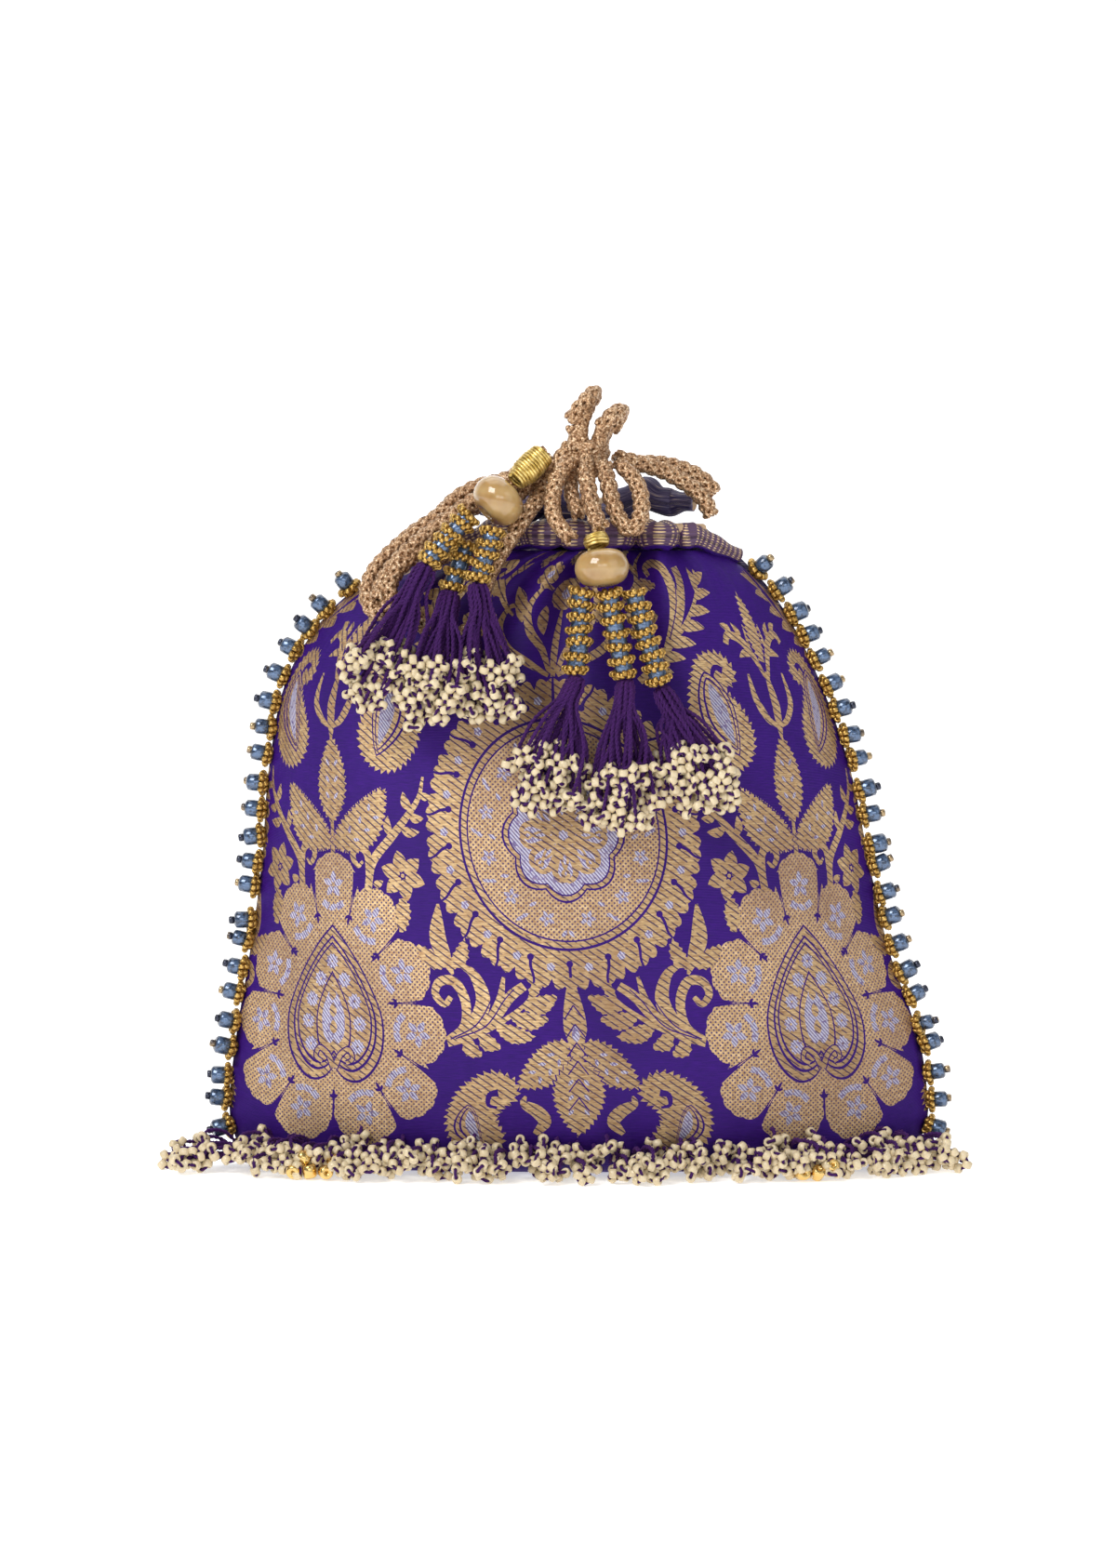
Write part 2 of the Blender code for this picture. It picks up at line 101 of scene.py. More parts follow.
class Shader:
    """A Principled material under construction."""

    def __init__(self, name, **constants):
        self.material = bpy.data.materials.new(name)
        self.material.use_nodes = True
        self.tree = self.material.node_tree
        self.surface = self.tree.nodes["Principled BSDF"]
        for label, value in constants.items():
            self.surface.inputs[label.replace("_", " ")].default_value = value

    def node(self, kind, settings=None, inputs=None, output=0):
        made = self.tree.nodes.new(kind)
        for key, value in (settings or {}).items():
            setattr(made, key, value)
        for key, value in (inputs or {}).items():
            self.plug(value, made.inputs[key])
        return Value(self, made.outputs[output])

    def plug(self, value, socket):
        if isinstance(value, Value):
            self.tree.links.new(value.socket, socket)
        elif isinstance(value, tuple) and len(value) == 3 and socket.type == "RGBA":
            socket.default_value = (*value, 1)
        else:
            socket.default_value = value

    def number(self, value):
        """A plain number as a socket, for sums that start with one."""
        return self.node("ShaderNodeMath", {"operation": "ADD"}, {0: value, 1: 0.0})

    def stretch(self, vector, scale):
        return self.node("ShaderNodeVectorMath", {"operation": "MULTIPLY"}, {0: vector, 1: scale})

    def mix(self, share, first, second):
        made = self.node("ShaderNodeMix", {"data_type": "RGBA"}, output=2)
        sockets = made.socket.node.inputs
        for value, index in ((share, 0), (first, 6), (second, 7)):
            self.plug(value, sockets[index])
        return made

    def place(self):
        """Position on the piece, in millimetres."""
        where = self.node("ShaderNodeTexCoord", output=3)
        return self.node("ShaderNodeVectorMath", {"operation": "SCALE"}, {0: where, 3: 1000.0})

    def uv(self, name, scale):
        """A UV map stretched to these sizes, as a vector."""
        where = self.node("ShaderNodeUVMap", {"uv_map": name})
        return self.stretch(where, scale)

    def parts(self, vector):
        split = self.node("ShaderNodeSeparateXYZ", inputs={0: vector})
        return [Value(self, split.socket.node.outputs[k]) for k in range(3)]

    def noise(self, vector, scale, detail=2.0, roughness=0.5):
        return self.node("ShaderNodeTexNoise", inputs={
            "Vector": vector, "Scale": scale, "Detail": detail, "Roughness": roughness})

    def wave(self, value, pitch):
        """A smooth 0 to 1 wave that repeats every pitch."""
        return (value * (2 * math.pi / pitch)).math("SINE") * 0.5 + 0.5

    def ramp(self, value, low, high):
        """0 below low and 1 above high."""
        return self.node("ShaderNodeMapRange", {"clamp": True}, {0: value, 1: low, 2: high, 3: 0.0, 4: 1.0})

    def bump(self, height, distance, strength=1.0):
        made = self.node("ShaderNodeBump", inputs={
            "Height": height, "Distance": distance, "Strength": strength})
        self.plug(made, self.surface.inputs["Normal"])

    def set(self, **links):
        for label, value in links.items():
            self.plug(value, self.surface.inputs[label.replace("_", " ")])
        return self.material


def stage_piece(name, points, faces, colour, roughness):
    mesh = bpy.data.meshes.new(name)
    mesh.from_pydata(points, [], faces)
    mesh.shade_smooth()
    made = bpy.data.objects.new(name, mesh)
    bpy.context.collection.objects.link(made)
    shader = Shader(name, Roughness=roughness, Emission_Color=(1, 1, 1, 1), Emission_Strength=0.5)
    grain = shader.noise(shader.place(), 0.02)
    mesh.materials.append(shader.set(Base_Color=shader.mix(grain, colour, tuple(c * 0.985 for c in colour))))
    return made


# %% The sweep and the lights
SWEEP_WIDTH = 6.0
profile = [(-3.0, 0.0), (0.9, 0.0)]
profile += [(0.9 + math.sin(a) * 0.8, 0.8 - math.cos(a) * 0.8) for a in np.linspace(0.1, math.pi / 2, 14)]
profile.append((1.7, 4.0))
sweep_points = [(x, y, z) for y, z in profile for x in (-SWEEP_WIDTH / 2, SWEEP_WIDTH / 2)]
sweep_faces = [(2 * i, 2 * i + 1, 2 * i + 3, 2 * i + 2) for i in range(len(profile) - 1)]
stage_piece("sweep", sweep_points, sweep_faces, (0.93, 0.93, 0.93), 0.9)


def soft_light(name, place, size, power, tint=(1, 1, 1)):
    data = bpy.data.lights.new(name, "AREA")
    data.shape = "RECTANGLE"
    data.size, data.size_y = size
    data.energy = power
    data.color = tint
    light = bpy.data.objects.new(name, data)
    light.location = place
    light.rotation_euler = (AIM - Vector(place)).to_track_quat("-Z", "Y").to_euler()
    bpy.context.collection.objects.link(light)


soft_light("key", (-0.9, -1.1, 1.35), (0.9, 0.9), 21)
soft_light("fill", (1.3, -1.0, 0.8), (1.1, 1.3), 3.6)
soft_light("front_card", (0.1, -1.9, 0.55), (1.4, 0.5), 5)
soft_light("top", (0, 0.35, 1.6), (1.6, 1.2), 7.5)
world = bpy.data.worlds.new("studio")
world.use_nodes = True
world.node_tree.nodes["Background"].inputs["Color"].default_value = (1, 1, 1, 1)
world.node_tree.nodes["Background"].inputs["Strength"].default_value = 0.24
bpy.context.scene.world = world

# %% [markdown]
# ## Tools for pieces
#
# Every piece is drawn in millimetres and stored in metres with its object at the origin. Geometry Nodes do
# the repeating: one tree strings beads on marked points, and one lays yarns round a path. A tree's result
# is read back as a plain mesh, so the finished piece carries no modifier.

# %% From points to pieces
def plain_piece(name, points, faces, materials, indices=None, smooth=True, uvs=None):
    """A mesh object from millimetre points. uvs holds one pair for each point."""
    mesh = bpy.data.meshes.new(name)
    mesh.from_pydata((np.asarray(points, dtype=float) * MM).tolist(), [], faces)
    for material in materials:
        mesh.materials.append(material)
    if indices is not None:
        mesh.polygons.foreach_set("material_index", np.asarray(indices, dtype=np.int32))
    if uvs is not None:
        layer = mesh.uv_layers.new(name="OFBake")
        loops = np.empty(len(mesh.loops), dtype=np.int32)
        mesh.loops.foreach_get("vertex_index", loops)
        layer.data.foreach_set("uv", np.asarray(uvs, dtype=np.float32)[loops].ravel())
    if smooth:
        mesh.shade_smooth()
    made = bpy.data.objects.new(name, mesh)
    bpy.context.collection.objects.link(made)
    return made


def curve_through(points, step):
    """Points about step apart on a smooth curve through these, in any number of dimensions."""
    line = np.asarray(points, dtype=float)
    ends = np.vstack([2 * line[0] - line[1], line, 2 * line[-1] - line[-2]])
    found = [line[0]]
    for p0, p1, p2, p3 in zip(ends, ends[1:], ends[2:], ends[3:]):
        count = max(1, round(float(np.linalg.norm(p2 - p1)) / step))
        for f in (np.arange(count) + 1) / count:
            found.append(0.5 * (2 * p1 + (p2 - p0) * f + (2 * p0 - 5 * p1 + 4 * p2 - p3) * f * f
                                + (3 * p1 - p0 - 3 * p2 + p3) * f**3))
    return np.array(found)


def path_object(name, lines):
    """Poly curves in metres, for the node trees to follow."""
    curve = bpy.data.curves.new(name, "CURVE")
    curve.dimensions = "3D"
    for line in lines:
        spline = curve.splines.new("POLY")
        spline.points.add(len(line) - 1)
        flat = np.hstack([np.asarray(line) * MM, np.ones((len(line), 1))])
        spline.points.foreach_set("co", flat.ravel())
    made = bpy.data.objects.new(name, curve)
    bpy.context.collection.objects.link(made)
    return made


def read_back(worker, name):
    """The evaluated result of a node tree as a plain mesh object. The worker is removed."""
    bpy.context.view_layer.update()
    graph = bpy.context.evaluated_depsgraph_get()
    mesh = bpy.data.meshes.new_from_object(worker.evaluated_get(graph))
    mesh.name = name
    mesh.shade_smooth()
    bpy.data.objects.remove(worker)
    made = bpy.data.objects.new(name, mesh)
    bpy.context.collection.objects.link(made)
    return made


# %% Trees and their inputs
class Tree:
    """A Geometry Nodes tree under construction."""

    def __init__(self, name, sockets):
        self.tree = bpy.data.node_groups.new(name, "GeometryNodeTree")
        self.tree.interface.new_socket("Geometry", in_out="INPUT", socket_type="NodeSocketGeometry")
        for label, kind in sockets:
            self.tree.interface.new_socket(label, in_out="INPUT", socket_type="NodeSocket" + kind)
        self.tree.interface.new_socket("Geometry", in_out="OUTPUT", socket_type="NodeSocketGeometry")
        self.entry = self.tree.nodes.new("NodeGroupInput")
        self.exit = self.tree.nodes.new("NodeGroupOutput")

    def input(self, label):
        return self.entry.outputs[label]

    def add(self, kind, settings=None, inputs=None, output=0):
        node = self.tree.nodes.new(kind)
        for key, value in (settings or {}).items():
            setattr(node, key, value)
        for key, value in (inputs or {}).items():
            if isinstance(value, bpy.types.NodeSocket):
                self.tree.links.new(value, node.inputs[key])
            else:
                node.inputs[key].default_value = value
        return node.outputs[output]

    def math(self, operation, a, b=0.0):
        return self.add("ShaderNodeMath", {"operation": operation}, {0: a, 1: b})

    def vector(self, operation, a, b=None, scale=None):
        inputs = {0: a}
        if b is not None:
            inputs[1] = b
        if scale is not None:
            inputs[3] = scale
        return self.add("ShaderNodeVectorMath", {"operation": operation}, inputs)

    def finish(self, geometry, material):
        whole = self.add("GeometryNodeRealizeInstances", inputs={"Geometry": geometry})
        painted = self.add("GeometryNodeSetMaterial", inputs={"Geometry": whole, "Material": material})
        self.tree.links.new(painted, self.exit.inputs[0])
        return self.tree


def run_tree(worker, tree, name, values):
    """Put the tree on the worker with these inputs, and read the result back."""
    modifier = worker.modifiers.new("nodes", "NODES")
    modifier.node_group = tree
    for item in tree.interface.items_tree:
        if item.in_out == "INPUT" and item.name in values:
            modifier[item.identifier] = values[item.name]
    return read_back(worker, name)


# %% [markdown]
# ## The tree that lays yarns round a path
#
# A braid and a twisted thread are the same thing seen from the path: each yarn circles it at a small
# distance. In a twist they all go the same way, in a braid half of them go the other way and each yarn
# rises and falls so that they pass over one another. So one tree makes both. It copies every path once for
# each yarn, moves the copy's points round the path by an angle that grows along it, and gives it a round
# section. Curve modelling by hand could do a single cord, but not four hundred threads.

# %% The yarn tree
def make_yarn_tree():
    tree = Tree("yarns_round_a_path", [
        ("Yarns", "Int"), ("Orbit", "Float"), ("Pitch", "Float"), ("Thickness", "Float"), ("Step", "Float"),
        ("Both Ways", "Float"), ("Sides", "Int"), ("Material", "Material")])
    path = tree.add("GeometryNodeResampleCurve", inputs={"Curve": tree.input("Geometry")})
    node = path.node
    try:
        node.mode = "LENGTH"
    except AttributeError:
        node.inputs["Mode"].default_value = "Length"
    tree.tree.links.new(tree.input("Step"), node.inputs["Length"])
    length = tree.add("GeometryNodeSplineParameter", output=1)
    kept = tree.add("GeometryNodeStoreNamedAttribute", {"data_type": "FLOAT", "domain": "POINT"},
                    {"Geometry": path, "Name": "along", "Value": length})
    copies = tree.add("GeometryNodeDuplicateElements", {"domain": "SPLINE"},
                      {"Geometry": kept, "Amount": tree.input("Yarns")})
    number = copies.node.outputs[1]
    kept2 = tree.add("GeometryNodeStoreNamedAttribute", {"data_type": "FLOAT", "domain": "CURVE"},
                     {"Geometry": copies, "Name": "yarn", "Value": number})
    index = tree.add("GeometryNodeInputNamedAttribute", {"data_type": "FLOAT"}, {"Name": "yarn"})
    along = tree.add("GeometryNodeInputNamedAttribute", {"data_type": "FLOAT"}, {"Name": "along"})
    odd = tree.math("MODULO", index, 2.0)
    back = tree.math("MULTIPLY", tree.math("MULTIPLY", odd, 2.0), tree.input("Both Ways"))
    way = tree.math("SUBTRACT", 1.0, back)
    turn = tree.math("MULTIPLY", tree.math("DIVIDE", along, tree.input("Pitch")), 2 * math.pi)
    start = tree.math("MULTIPLY", tree.math("DIVIDE", index, tree.input("Yarns")), 2 * math.pi)
    angle = tree.math("ADD", tree.math("MULTIPLY", turn, way), start)
    crossings = tree.math("ADD", tree.math("MULTIPLY", turn, 4.0), tree.math("MULTIPLY", start, 4.0))
    over = tree.math("SINE", tree.math("ADD", crossings, tree.math("MULTIPLY", odd, math.pi)))
    weave = tree.math("MULTIPLY", over, tree.input("Both Ways"))
    swell = tree.math("ADD", 1.0, tree.math("MULTIPLY", weave, 0.16))
    distance = tree.math("MULTIPLY", tree.input("Orbit"), swell)
    normal = tree.add("GeometryNodeInputNormal")
    tangent = tree.add("GeometryNodeInputTangent")
    side = tree.vector("CROSS_PRODUCT", tangent, normal)
    offset = tree.vector(
        "ADD",
        tree.vector("SCALE", normal, scale=tree.math("MULTIPLY", tree.math("COSINE", angle), distance)),
        tree.vector("SCALE", side, scale=tree.math("MULTIPLY", tree.math("SINE", angle), distance)))
    moved = tree.add("GeometryNodeSetPosition", inputs={"Geometry": kept2, "Offset": offset})
    ring = tree.add("GeometryNodeCurvePrimitiveCircle", {"mode": "RADIUS"},
                    {"Resolution": tree.input("Sides"), "Radius": tree.input("Thickness")})
    tubes = tree.add("GeometryNodeCurveToMesh", inputs={
        "Curve": moved, "Profile Curve": ring, "Fill Caps": True})
    return tree.finish(tubes, tree.input("Material"))


YARN_TREE = make_yarn_tree()


def yarns(name, lines, material, count, orbit, pitch, thickness, step, both_ways=0.0, sides=5):
    """Lay count yarns round each line. All sizes are in millimetres."""
    return run_tree(path_object(name + "_paths", lines), YARN_TREE, name, {
        "Yarns": count, "Orbit": orbit * MM, "Pitch": pitch * MM, "Thickness": thickness * MM,
        "Step": step * MM, "Both Ways": both_ways, "Sides": sides, "Material": material})


# %% [markdown]
# ## The drawstring cords
#
# The cords are braids of metallic yarn, copper and pale gold together, with dark gaps between the yarns.
# Eight yarns, four each way, give the bristly, sparkling look of the real thing. The colour changes from
# yarn to yarn and in short lengths along each, so a fine noise on position is enough, and low roughness
# in small spots makes the tinsel flash.

# %% Metallic cord
def cord_finish():
    shader = Shader("metallic_cord", Metallic=0.7, Specular_IOR_Level=0.5)
    place = shader.place()
    flecks = shader.noise(place, 1.6, 3.0, 0.7)
    broad = shader.noise(place, 0.35)
    colour = shader.mix(shader.ramp(flecks, 0.38, 0.52), (0.14, 0.062, 0.028), (0.56, 0.33, 0.17))
    colour = shader.mix(shader.ramp(flecks, 0.53, 0.62), colour, (1.0, 0.80, 0.56))
    colour = shader.mix(shader.ramp(broad, 0.4, 0.8) * 0.35, colour, (0.42, 0.23, 0.13))
    shader.bump(flecks, 0.0004, 0.7)
    return shader.set(Base_Color=colour, Roughness=0.46 - 0.2 * flecks)


CORD_FINISH = cord_finish()
CORD_DIAMETER = 4.8
CORD_ROUTES = {
    "ear_loop_left": (
        (-9.5, -9, 215), (-15, -9, 210.5), (-22, -9, 206.8), (-30, -8.5, 204.8), (-36.4, -8, 201.3),
        (-42, -8, 196), (-49.3, -8.5, 191), (-55.7, -9.5, 185.5), (-60.3, -12, 180.5),
        (-62.6, -15.5, 175.5), (-62.2, -19, 170.5), (-58.9, -21.5, 167.6), (-56, -21.8, 171),
        (-56, -19.8, 176), (-53.6, -17.6, 180.5), (-49.5, -15.5, 184.2), (-44.6, -14, 188.6),
        (-38.8, -13.3, 193.6), (-33, -13.4, 198), (-27, -14, 200.5), (-19.6, -14.5, 202.4),
        (-13.5, -14.5, 206), (-9.3, -13.6, 209.6)),
    "ear_loop_inner": (
        (-9.4, -15.4, 211.6), (-15, -17.4, 208.4), (-22, -18.2, 205.2), (-29, -17.8, 201.8),
        (-36, -16.6, 197.4), (-43, -15.8, 192.2), (-49.4, -15.6, 187), (-54.8, -16.6, 181.6),
        (-58.4, -19.2, 176), (-59.4, -22.6, 171.4)),
    "drawstring_left": (
        (-33.2, -7.6, 187.5), (-37, -12, 186), (-41, -16.5, 184), (-46, -20, 179.5), (-49, -23.5, 174),
        (-48.6, -26.5, 168), (-44.5, -29.2, 163), (-38, -31, 161), (-31.8, -31.2, 163.4),
        (-28.6, -29.8, 169), (-27.6, -28.2, 176), (-24.2, -26.6, 183.5), (-19, -24.8, 191.5),
        (-13.6, -21.4, 199.4), (-9.4, -17.4, 205)),
    "drawstring_right": (
        (11.2, -10, 213.4), (18.8, -8.4, 211.6), (26, -6.4, 209.2), (32.6, -5, 205.4),
        (37.4, -4, 200.8), (39.6, -3.4, 196.4)),
    "drawstring_right_rear": (
        (10.6, -3.4, 212.8), (17, -1.4, 211.8), (24.4, 0.6, 211.6), (31.4, 1.6, 210),
        (37, 1.6, 207), (40.8, 1.2, 203)),
    "top_loop_tall": (
        (-2.2, -13.2, 224.5), (0.4, -14.2, 228.2), (3.4, -12, 231.4), (4.6, -8, 232.6), (3.8, -4, 231),
        (1.8, -2.6, 227.4), (-0.4, -3.4, 223.8)),
    "top_loop_short": (
        (6.6, -14.2, 222.4), (9.0, -14.8, 225), (11.6, -12, 227), (12.6, -8, 227), (11.6, -4.6, 225),
        (9.6, -3.6, 221.6)),
    "hanging_strand_1": (
        (-2.8, -20.4, 212.4), (-6.4, -24, 207.6), (-7.8, -27.2, 201.6), (-7.4, -29.6, 196.4),
        (-5, -32, 192.6), (-2.2, -33.6, 189.6)),
    "hanging_strand_2": (
        (1.8, -21.2, 210.4), (2.3, -24.5, 206.4), (3.3, -28.2, 201), (4.7, -31.4, 196.4),
        (6.6, -33.4, 192.8)),
    "hanging_loop": (
        (7.2, -19.4, 211.6), (8.4, -22.4, 206.6), (9.8, -25.2, 200.6), (12, -27, 195.2),
        (15.4, -27.4, 192.2), (18, -26, 195.8), (18.3, -23.4, 201.4), (16.6, -20.2, 206.8),
        (12.6, -16.4, 211)),
}


# %% Braiding the cords
YARN = CORD_DIAMETER * 0.19
BRAID_PITCH = CORD_DIAMETER * 2.9


def braid(name, line):
    """Eight yarns round a line, four each way."""
    orbit = CORD_DIAMETER / 2 - YARN + 0.2
    return yarns(name, [line], CORD_FINISH, 8, orbit, BRAID_PITCH, YARN, 0.8, both_ways=1.0)


for route_name, route in CORD_ROUTES.items():
    line = curve_through(route, 1.0)
    cord = braid(route_name + "_braid", line)
    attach(cord, "bag")
    if route_name != "ear_loop_inner":
        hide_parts(route_name)

# %% [markdown]
# ## The shape of the filled bag
#
# Flat cloth can't become a bag without folds, but it can be carried to the bag's outline row by row. Each
# row of the cloth is an arc: it keeps its length where there is room, and where the drawstring crowds it
# the rest goes into pleats. The rows' depths, heights and seam points are the same driving numbers as the
# solid model's. One function takes flat cloth coordinates to space, and the pattern, the lining and the
# gathers all go through it, so they always agree.

# %% Carrying flat cloth to the bag
HALF_CLOTH = 114.0
WALL = 1.5
# Each row: cloth length, depth, height at the middle, and the left and right seam's x and z.
FRONT_ROWS = np.array((
    (0, 0, 0, -98, 1.5, 98, 1.5), (14, 15, 0, -102, 5, 102, 5),
    (24, 23, 3.2, -104.5, 10.5, 104.5, 10.5), (33, 28, 11.5, -105.6, 18, 105.8, 17),
    (57, 34, 34.5, -103.5, 39, 103, 38), (87, 37, 65, -99, 66, 93.5, 66),
    (112, 37, 90, -95.5, 92, 87.8, 91), (142, 34, 120, -93, 122, 81.5, 121),
    (172, 29, 150, -86.5, 150, 71, 150), (193, 24.5, 170.5, -70, 172, 61, 168),
    (206, 20, 182, -50, 181, 51, 179), (212, 17.5, 186, -33, 185.5, 43, 185)), dtype=float)
BACK_ROWS = np.vstack([FRONT_ROWS[:-3], (
    (193, 24, 172, -70, 172, 59, 172), (208, 18.5, 187, -48, 184.5, 46, 186),
    (215, 14.5, 193.5, -33, 190, 38, 192.5))])


def read_rows(rows, along):
    """The six values of the rows at these cloth lengths, on a smooth curve."""
    i = np.clip(np.searchsorted(rows[:, 0], along, side="right") - 1, 0, len(rows) - 2)
    a, b = rows[i], rows[i + 1]
    before, after = rows[np.maximum(i - 1, 0)], rows[np.minimum(i + 2, len(rows) - 1)]
    span = (b[:, :1] - a[:, :1])
    f = (np.asarray(along)[:, None] - a[:, :1]) / span
    slope_a = (b - before) / (b[:, :1] - before[:, :1]) * span
    slope_b = (after - a) / (after[:, :1] - a[:, :1]) * span
    value = ((2 * f**3 - 3 * f**2 + 1) * a + (f**3 - 2 * f**2 + f) * slope_a
             + (3 * f**2 - 2 * f**3) * b + (f**3 - f**2) * slope_b)
    return value[:, 1:].T


ANGLES = np.linspace(0.01, 1.35, 400)
ARC_RATIOS = ANGLES / np.sin(ANGLES)


def step_up(value, low, high):
    f = np.clip((value - low) / (high - low), 0, 1)
    return f * f * (3 - 2 * f)


# Pleats of the front and the back: where across the hem, where lower down, half width, depth, how far down.
FRONT_PLEATS = (
    (-34, -30, 5, -2.2, 176), (-21, -27, 6, 3.4, 150), (-9, -14, 5, -2.6, 168), (1, 3, 6.5, 8.5, 128),
    (12, 14, 5, -2.0, 170), (26, 27, 7.5, 10.0, 150), (41, 42, 6, -4.4, 158), (56, 55, 7, 3.0, 178),
    (72, 66, 7, -1.8, 182), (-50, -46, 7, 2.8, 172), (-64, -58, 6, -1.8, 184), (-80, -72, 7, 2.0, 186),
    (86, 80, 6, 2.0, 186),
)
BACK_PLEATS = tuple((-0.9 * a + 6, -b + 4, w, d * 0.8, v + 4) for a, b, w, d, v in FRONT_PLEATS)
SAGS = (
    (-78, 30, 17, 9, 2.6), (84, 42, 15, 12, 2.2), (30, 26, 22, 8, 1.4), (-30, 22, 20, 7, 1.2),
    (-96, 92, 10, 30, 1.6), (92, 110, 10, 26, 1.8), (-60, 168, 20, 10, -1.6), (70, 150, 12, 16, 1.6),
)


def cloth_point(u, v, side, inset=0.0):
    """Space points for cloth coordinates: u across from the middle, v up from the bottom seam, side -1 for
    the front and 1 for the back, inset from the outer face."""
    u, v = np.asarray(u, dtype=float), np.asarray(v, dtype=float)
    rows = FRONT_ROWS if side < 0 else BACK_ROWS
    depth, height, left_x, left_z, right_x, right_z = read_rows(rows, v)
    middle, half = (left_x + right_x) / 2, (right_x - left_x) / 2
    angle = np.interp(HALF_CLOTH / half, ARC_RATIOS, ANGLES)
    across = u / HALF_CLOTH
    share = np.sin(angle * across) / np.sin(angle)
    bulge = (np.cos(angle * across) - np.cos(angle)) / (1 - np.cos(angle))
    seam_z = np.where(across < 0, left_z, right_z)
    z = np.maximum(height + (seam_z - height) * np.abs(across) ** 8, 0)
    fold = np.zeros_like(u)
    for hem_u, low_u, wide, deep, start in (FRONT_PLEATS if side < 0 else BACK_PLEATS):
        rise = step_up(v, start, 214)
        centre = low_u + (hem_u - low_u) * rise
        fold += deep * rise * np.exp(-(((u - centre) / (wide * (1.25 - 0.25 * rise))) ** 2))
    for sag_u, sag_v, wide, tall, deep in SAGS:
        fold += deep * np.exp(-(((u - sag_u) / wide) ** 2) - ((v - sag_v) / tall) ** 2)
    fold *= step_up(HALF_CLOTH - np.abs(u), 0, 9) * step_up(v, 9, 22)
    y = side * (0.15 + np.maximum(depth - inset - fold, 0.6 * (inset == 0)) * bulge)
    z = z + inset * (1 - np.clip((v - 14) / 30, 0, 1)) * (1 - np.abs(across) ** 8 * 0.5)
    x = middle + share * (half - inset * 1.6 * share**6)
    return np.stack([x, y, z], axis=1)


# %% [markdown]
# ## Drawing the brocade
#
# Brocade of this kind is woven from a drawing in which every motif is a flat patch of gold or silver weft
# on the silk, so the pattern is drawn as filled outlines on the flat cloth, in millimetres, with the
# medallion's centre at the origin. It is mirrored about the middle and about two side lines, as the loom
# repeats it. An image texture would blur at close range, and a formula in the shader can't hold this many
# different leaves, so the cloth mesh itself is cut along the outlines, and each patch gets its own weave.

# %% Drawing tools
SILK, ZARI, NET, SILVER = range(4)
art = []


def paint(outline, weave):
    art.append((np.asarray(outline, dtype=float), weave))


def smooth(points, step=0.9, closed=False):
    """A smooth curve through these points. A closed one comes round to its first point."""
    points = np.asarray(points, dtype=float)
    if closed:
        wrapped = np.vstack([points[-2:], points, points[:3]])
        line = curve_through(wrapped, step)
        first = int(np.argmin(np.linalg.norm(line - points[0], axis=1)))
        past = first + 4
        again = past + int(np.argmin(np.linalg.norm(line[past:] - points[0], axis=1)))
        return line[first:again]
    return curve_through(points, step)


def edge_normals(line):
    ahead = np.gradient(line, axis=0)
    ahead /= np.maximum(np.linalg.norm(ahead, axis=1, keepdims=True), 1e-9)
    return np.stack([-ahead[:, 1], ahead[:, 0]], axis=1)


def stroke(points, start, end=None, middle=None, weave=ZARI, step=0.9):
    """A ribbon along a curve, start wide at its beginning and end wide at its end."""
    line = smooth(points, step)
    t = np.linspace(0, 1, len(line))
    end = start if end is None else end
    wide = start + (end - start) * t
    if middle is not None:
        wide += (middle - (start + end) / 2) * np.sin(math.pi * t)
    side = edge_normals(line) * wide[:, None] / 2
    paint(np.vstack([line + side, (line - side)[::-1]]), weave)


def leaf_outline(root, tip, wide, bend=0.0, step=0.9):
    """A pointed leaf from root to tip, bent to its left by bend."""
    root, tip = np.asarray(root, dtype=float), np.asarray(tip, dtype=float)
    ahead = tip - root
    side = np.array((-ahead[1], ahead[0])) / np.linalg.norm(ahead)
    count = max(6, round(float(np.linalg.norm(ahead)) / step))
    t = np.linspace(0, 1, count + 1)[:, None]
    spine = root + ahead * t + side * bend * np.sin(math.pi * t)
    half = wide / 2 * np.sin(math.pi * t**0.85) ** 0.8
    return np.vstack([spine + side * half, (spine - side * half)[::-1][1:-1]])


def serrate(outline, depth=1.0, pitch=1.7, lean=0.5):
    """Teeth along an outline, pointing outwards and leaning forwards."""
    closed = np.vstack([outline, outline[:1]])
    reach = np.concatenate([[0], np.cumsum(np.linalg.norm(np.diff(closed, axis=0), axis=1))])
    teeth = max(8, round(reach[-1] / pitch))
    at = np.arange(2 * teeth) / (2 * teeth) * reach[-1]
    line = np.stack([np.interp(at, reach, closed[:, k]) for k in range(2)], axis=1)
    area = np.sum(closed[:-1, 0] * closed[1:, 1] - closed[1:, 0] * closed[:-1, 1])
    ahead = np.roll(line, -1, axis=0) - np.roll(line, 1, axis=0)
    ahead /= np.maximum(np.linalg.norm(ahead, axis=1, keepdims=True), 1e-9)
    out = np.stack([ahead[:, 1], -ahead[:, 0]], axis=1) * np.sign(area)
    line[1::2] += out[1::2] * depth + ahead[1::2] * depth * lean
    return line


def scallop(centre, radius, lobes, depth, turn=0.0, stretch=1.0):
    """A round patch with a lobed edge."""
    a = np.linspace(0, 2 * math.pi, lobes * 6, endpoint=False)
    r = radius * (1 - depth + depth * np.abs(np.sin(lobes * (a - turn) / 2)) ** 0.6)
    return np.stack([centre[0] + r * np.cos(a), centre[1] + stretch * r * np.sin(a)], axis=1)


def dash(centre, length, wide, turn, weave=SILVER):
    direction = np.array((math.cos(turn), math.sin(turn)))
    reach = direction * length / 2
    middle = np.asarray(centre, dtype=float)
    paint(leaf_outline(middle - reach, middle + reach, wide, step=0.7), weave)


def floret(centre, size, turn=0.0, petals=5):
    """A little silver flower of dashes."""
    for k in range(petals):
        a = turn + 2 * math.pi * k / petals
        dash((centre[0] + math.cos(a) * size * 0.55, centre[1] + math.sin(a) * size * 0.55),
             size * 0.85, size * 0.5, a)


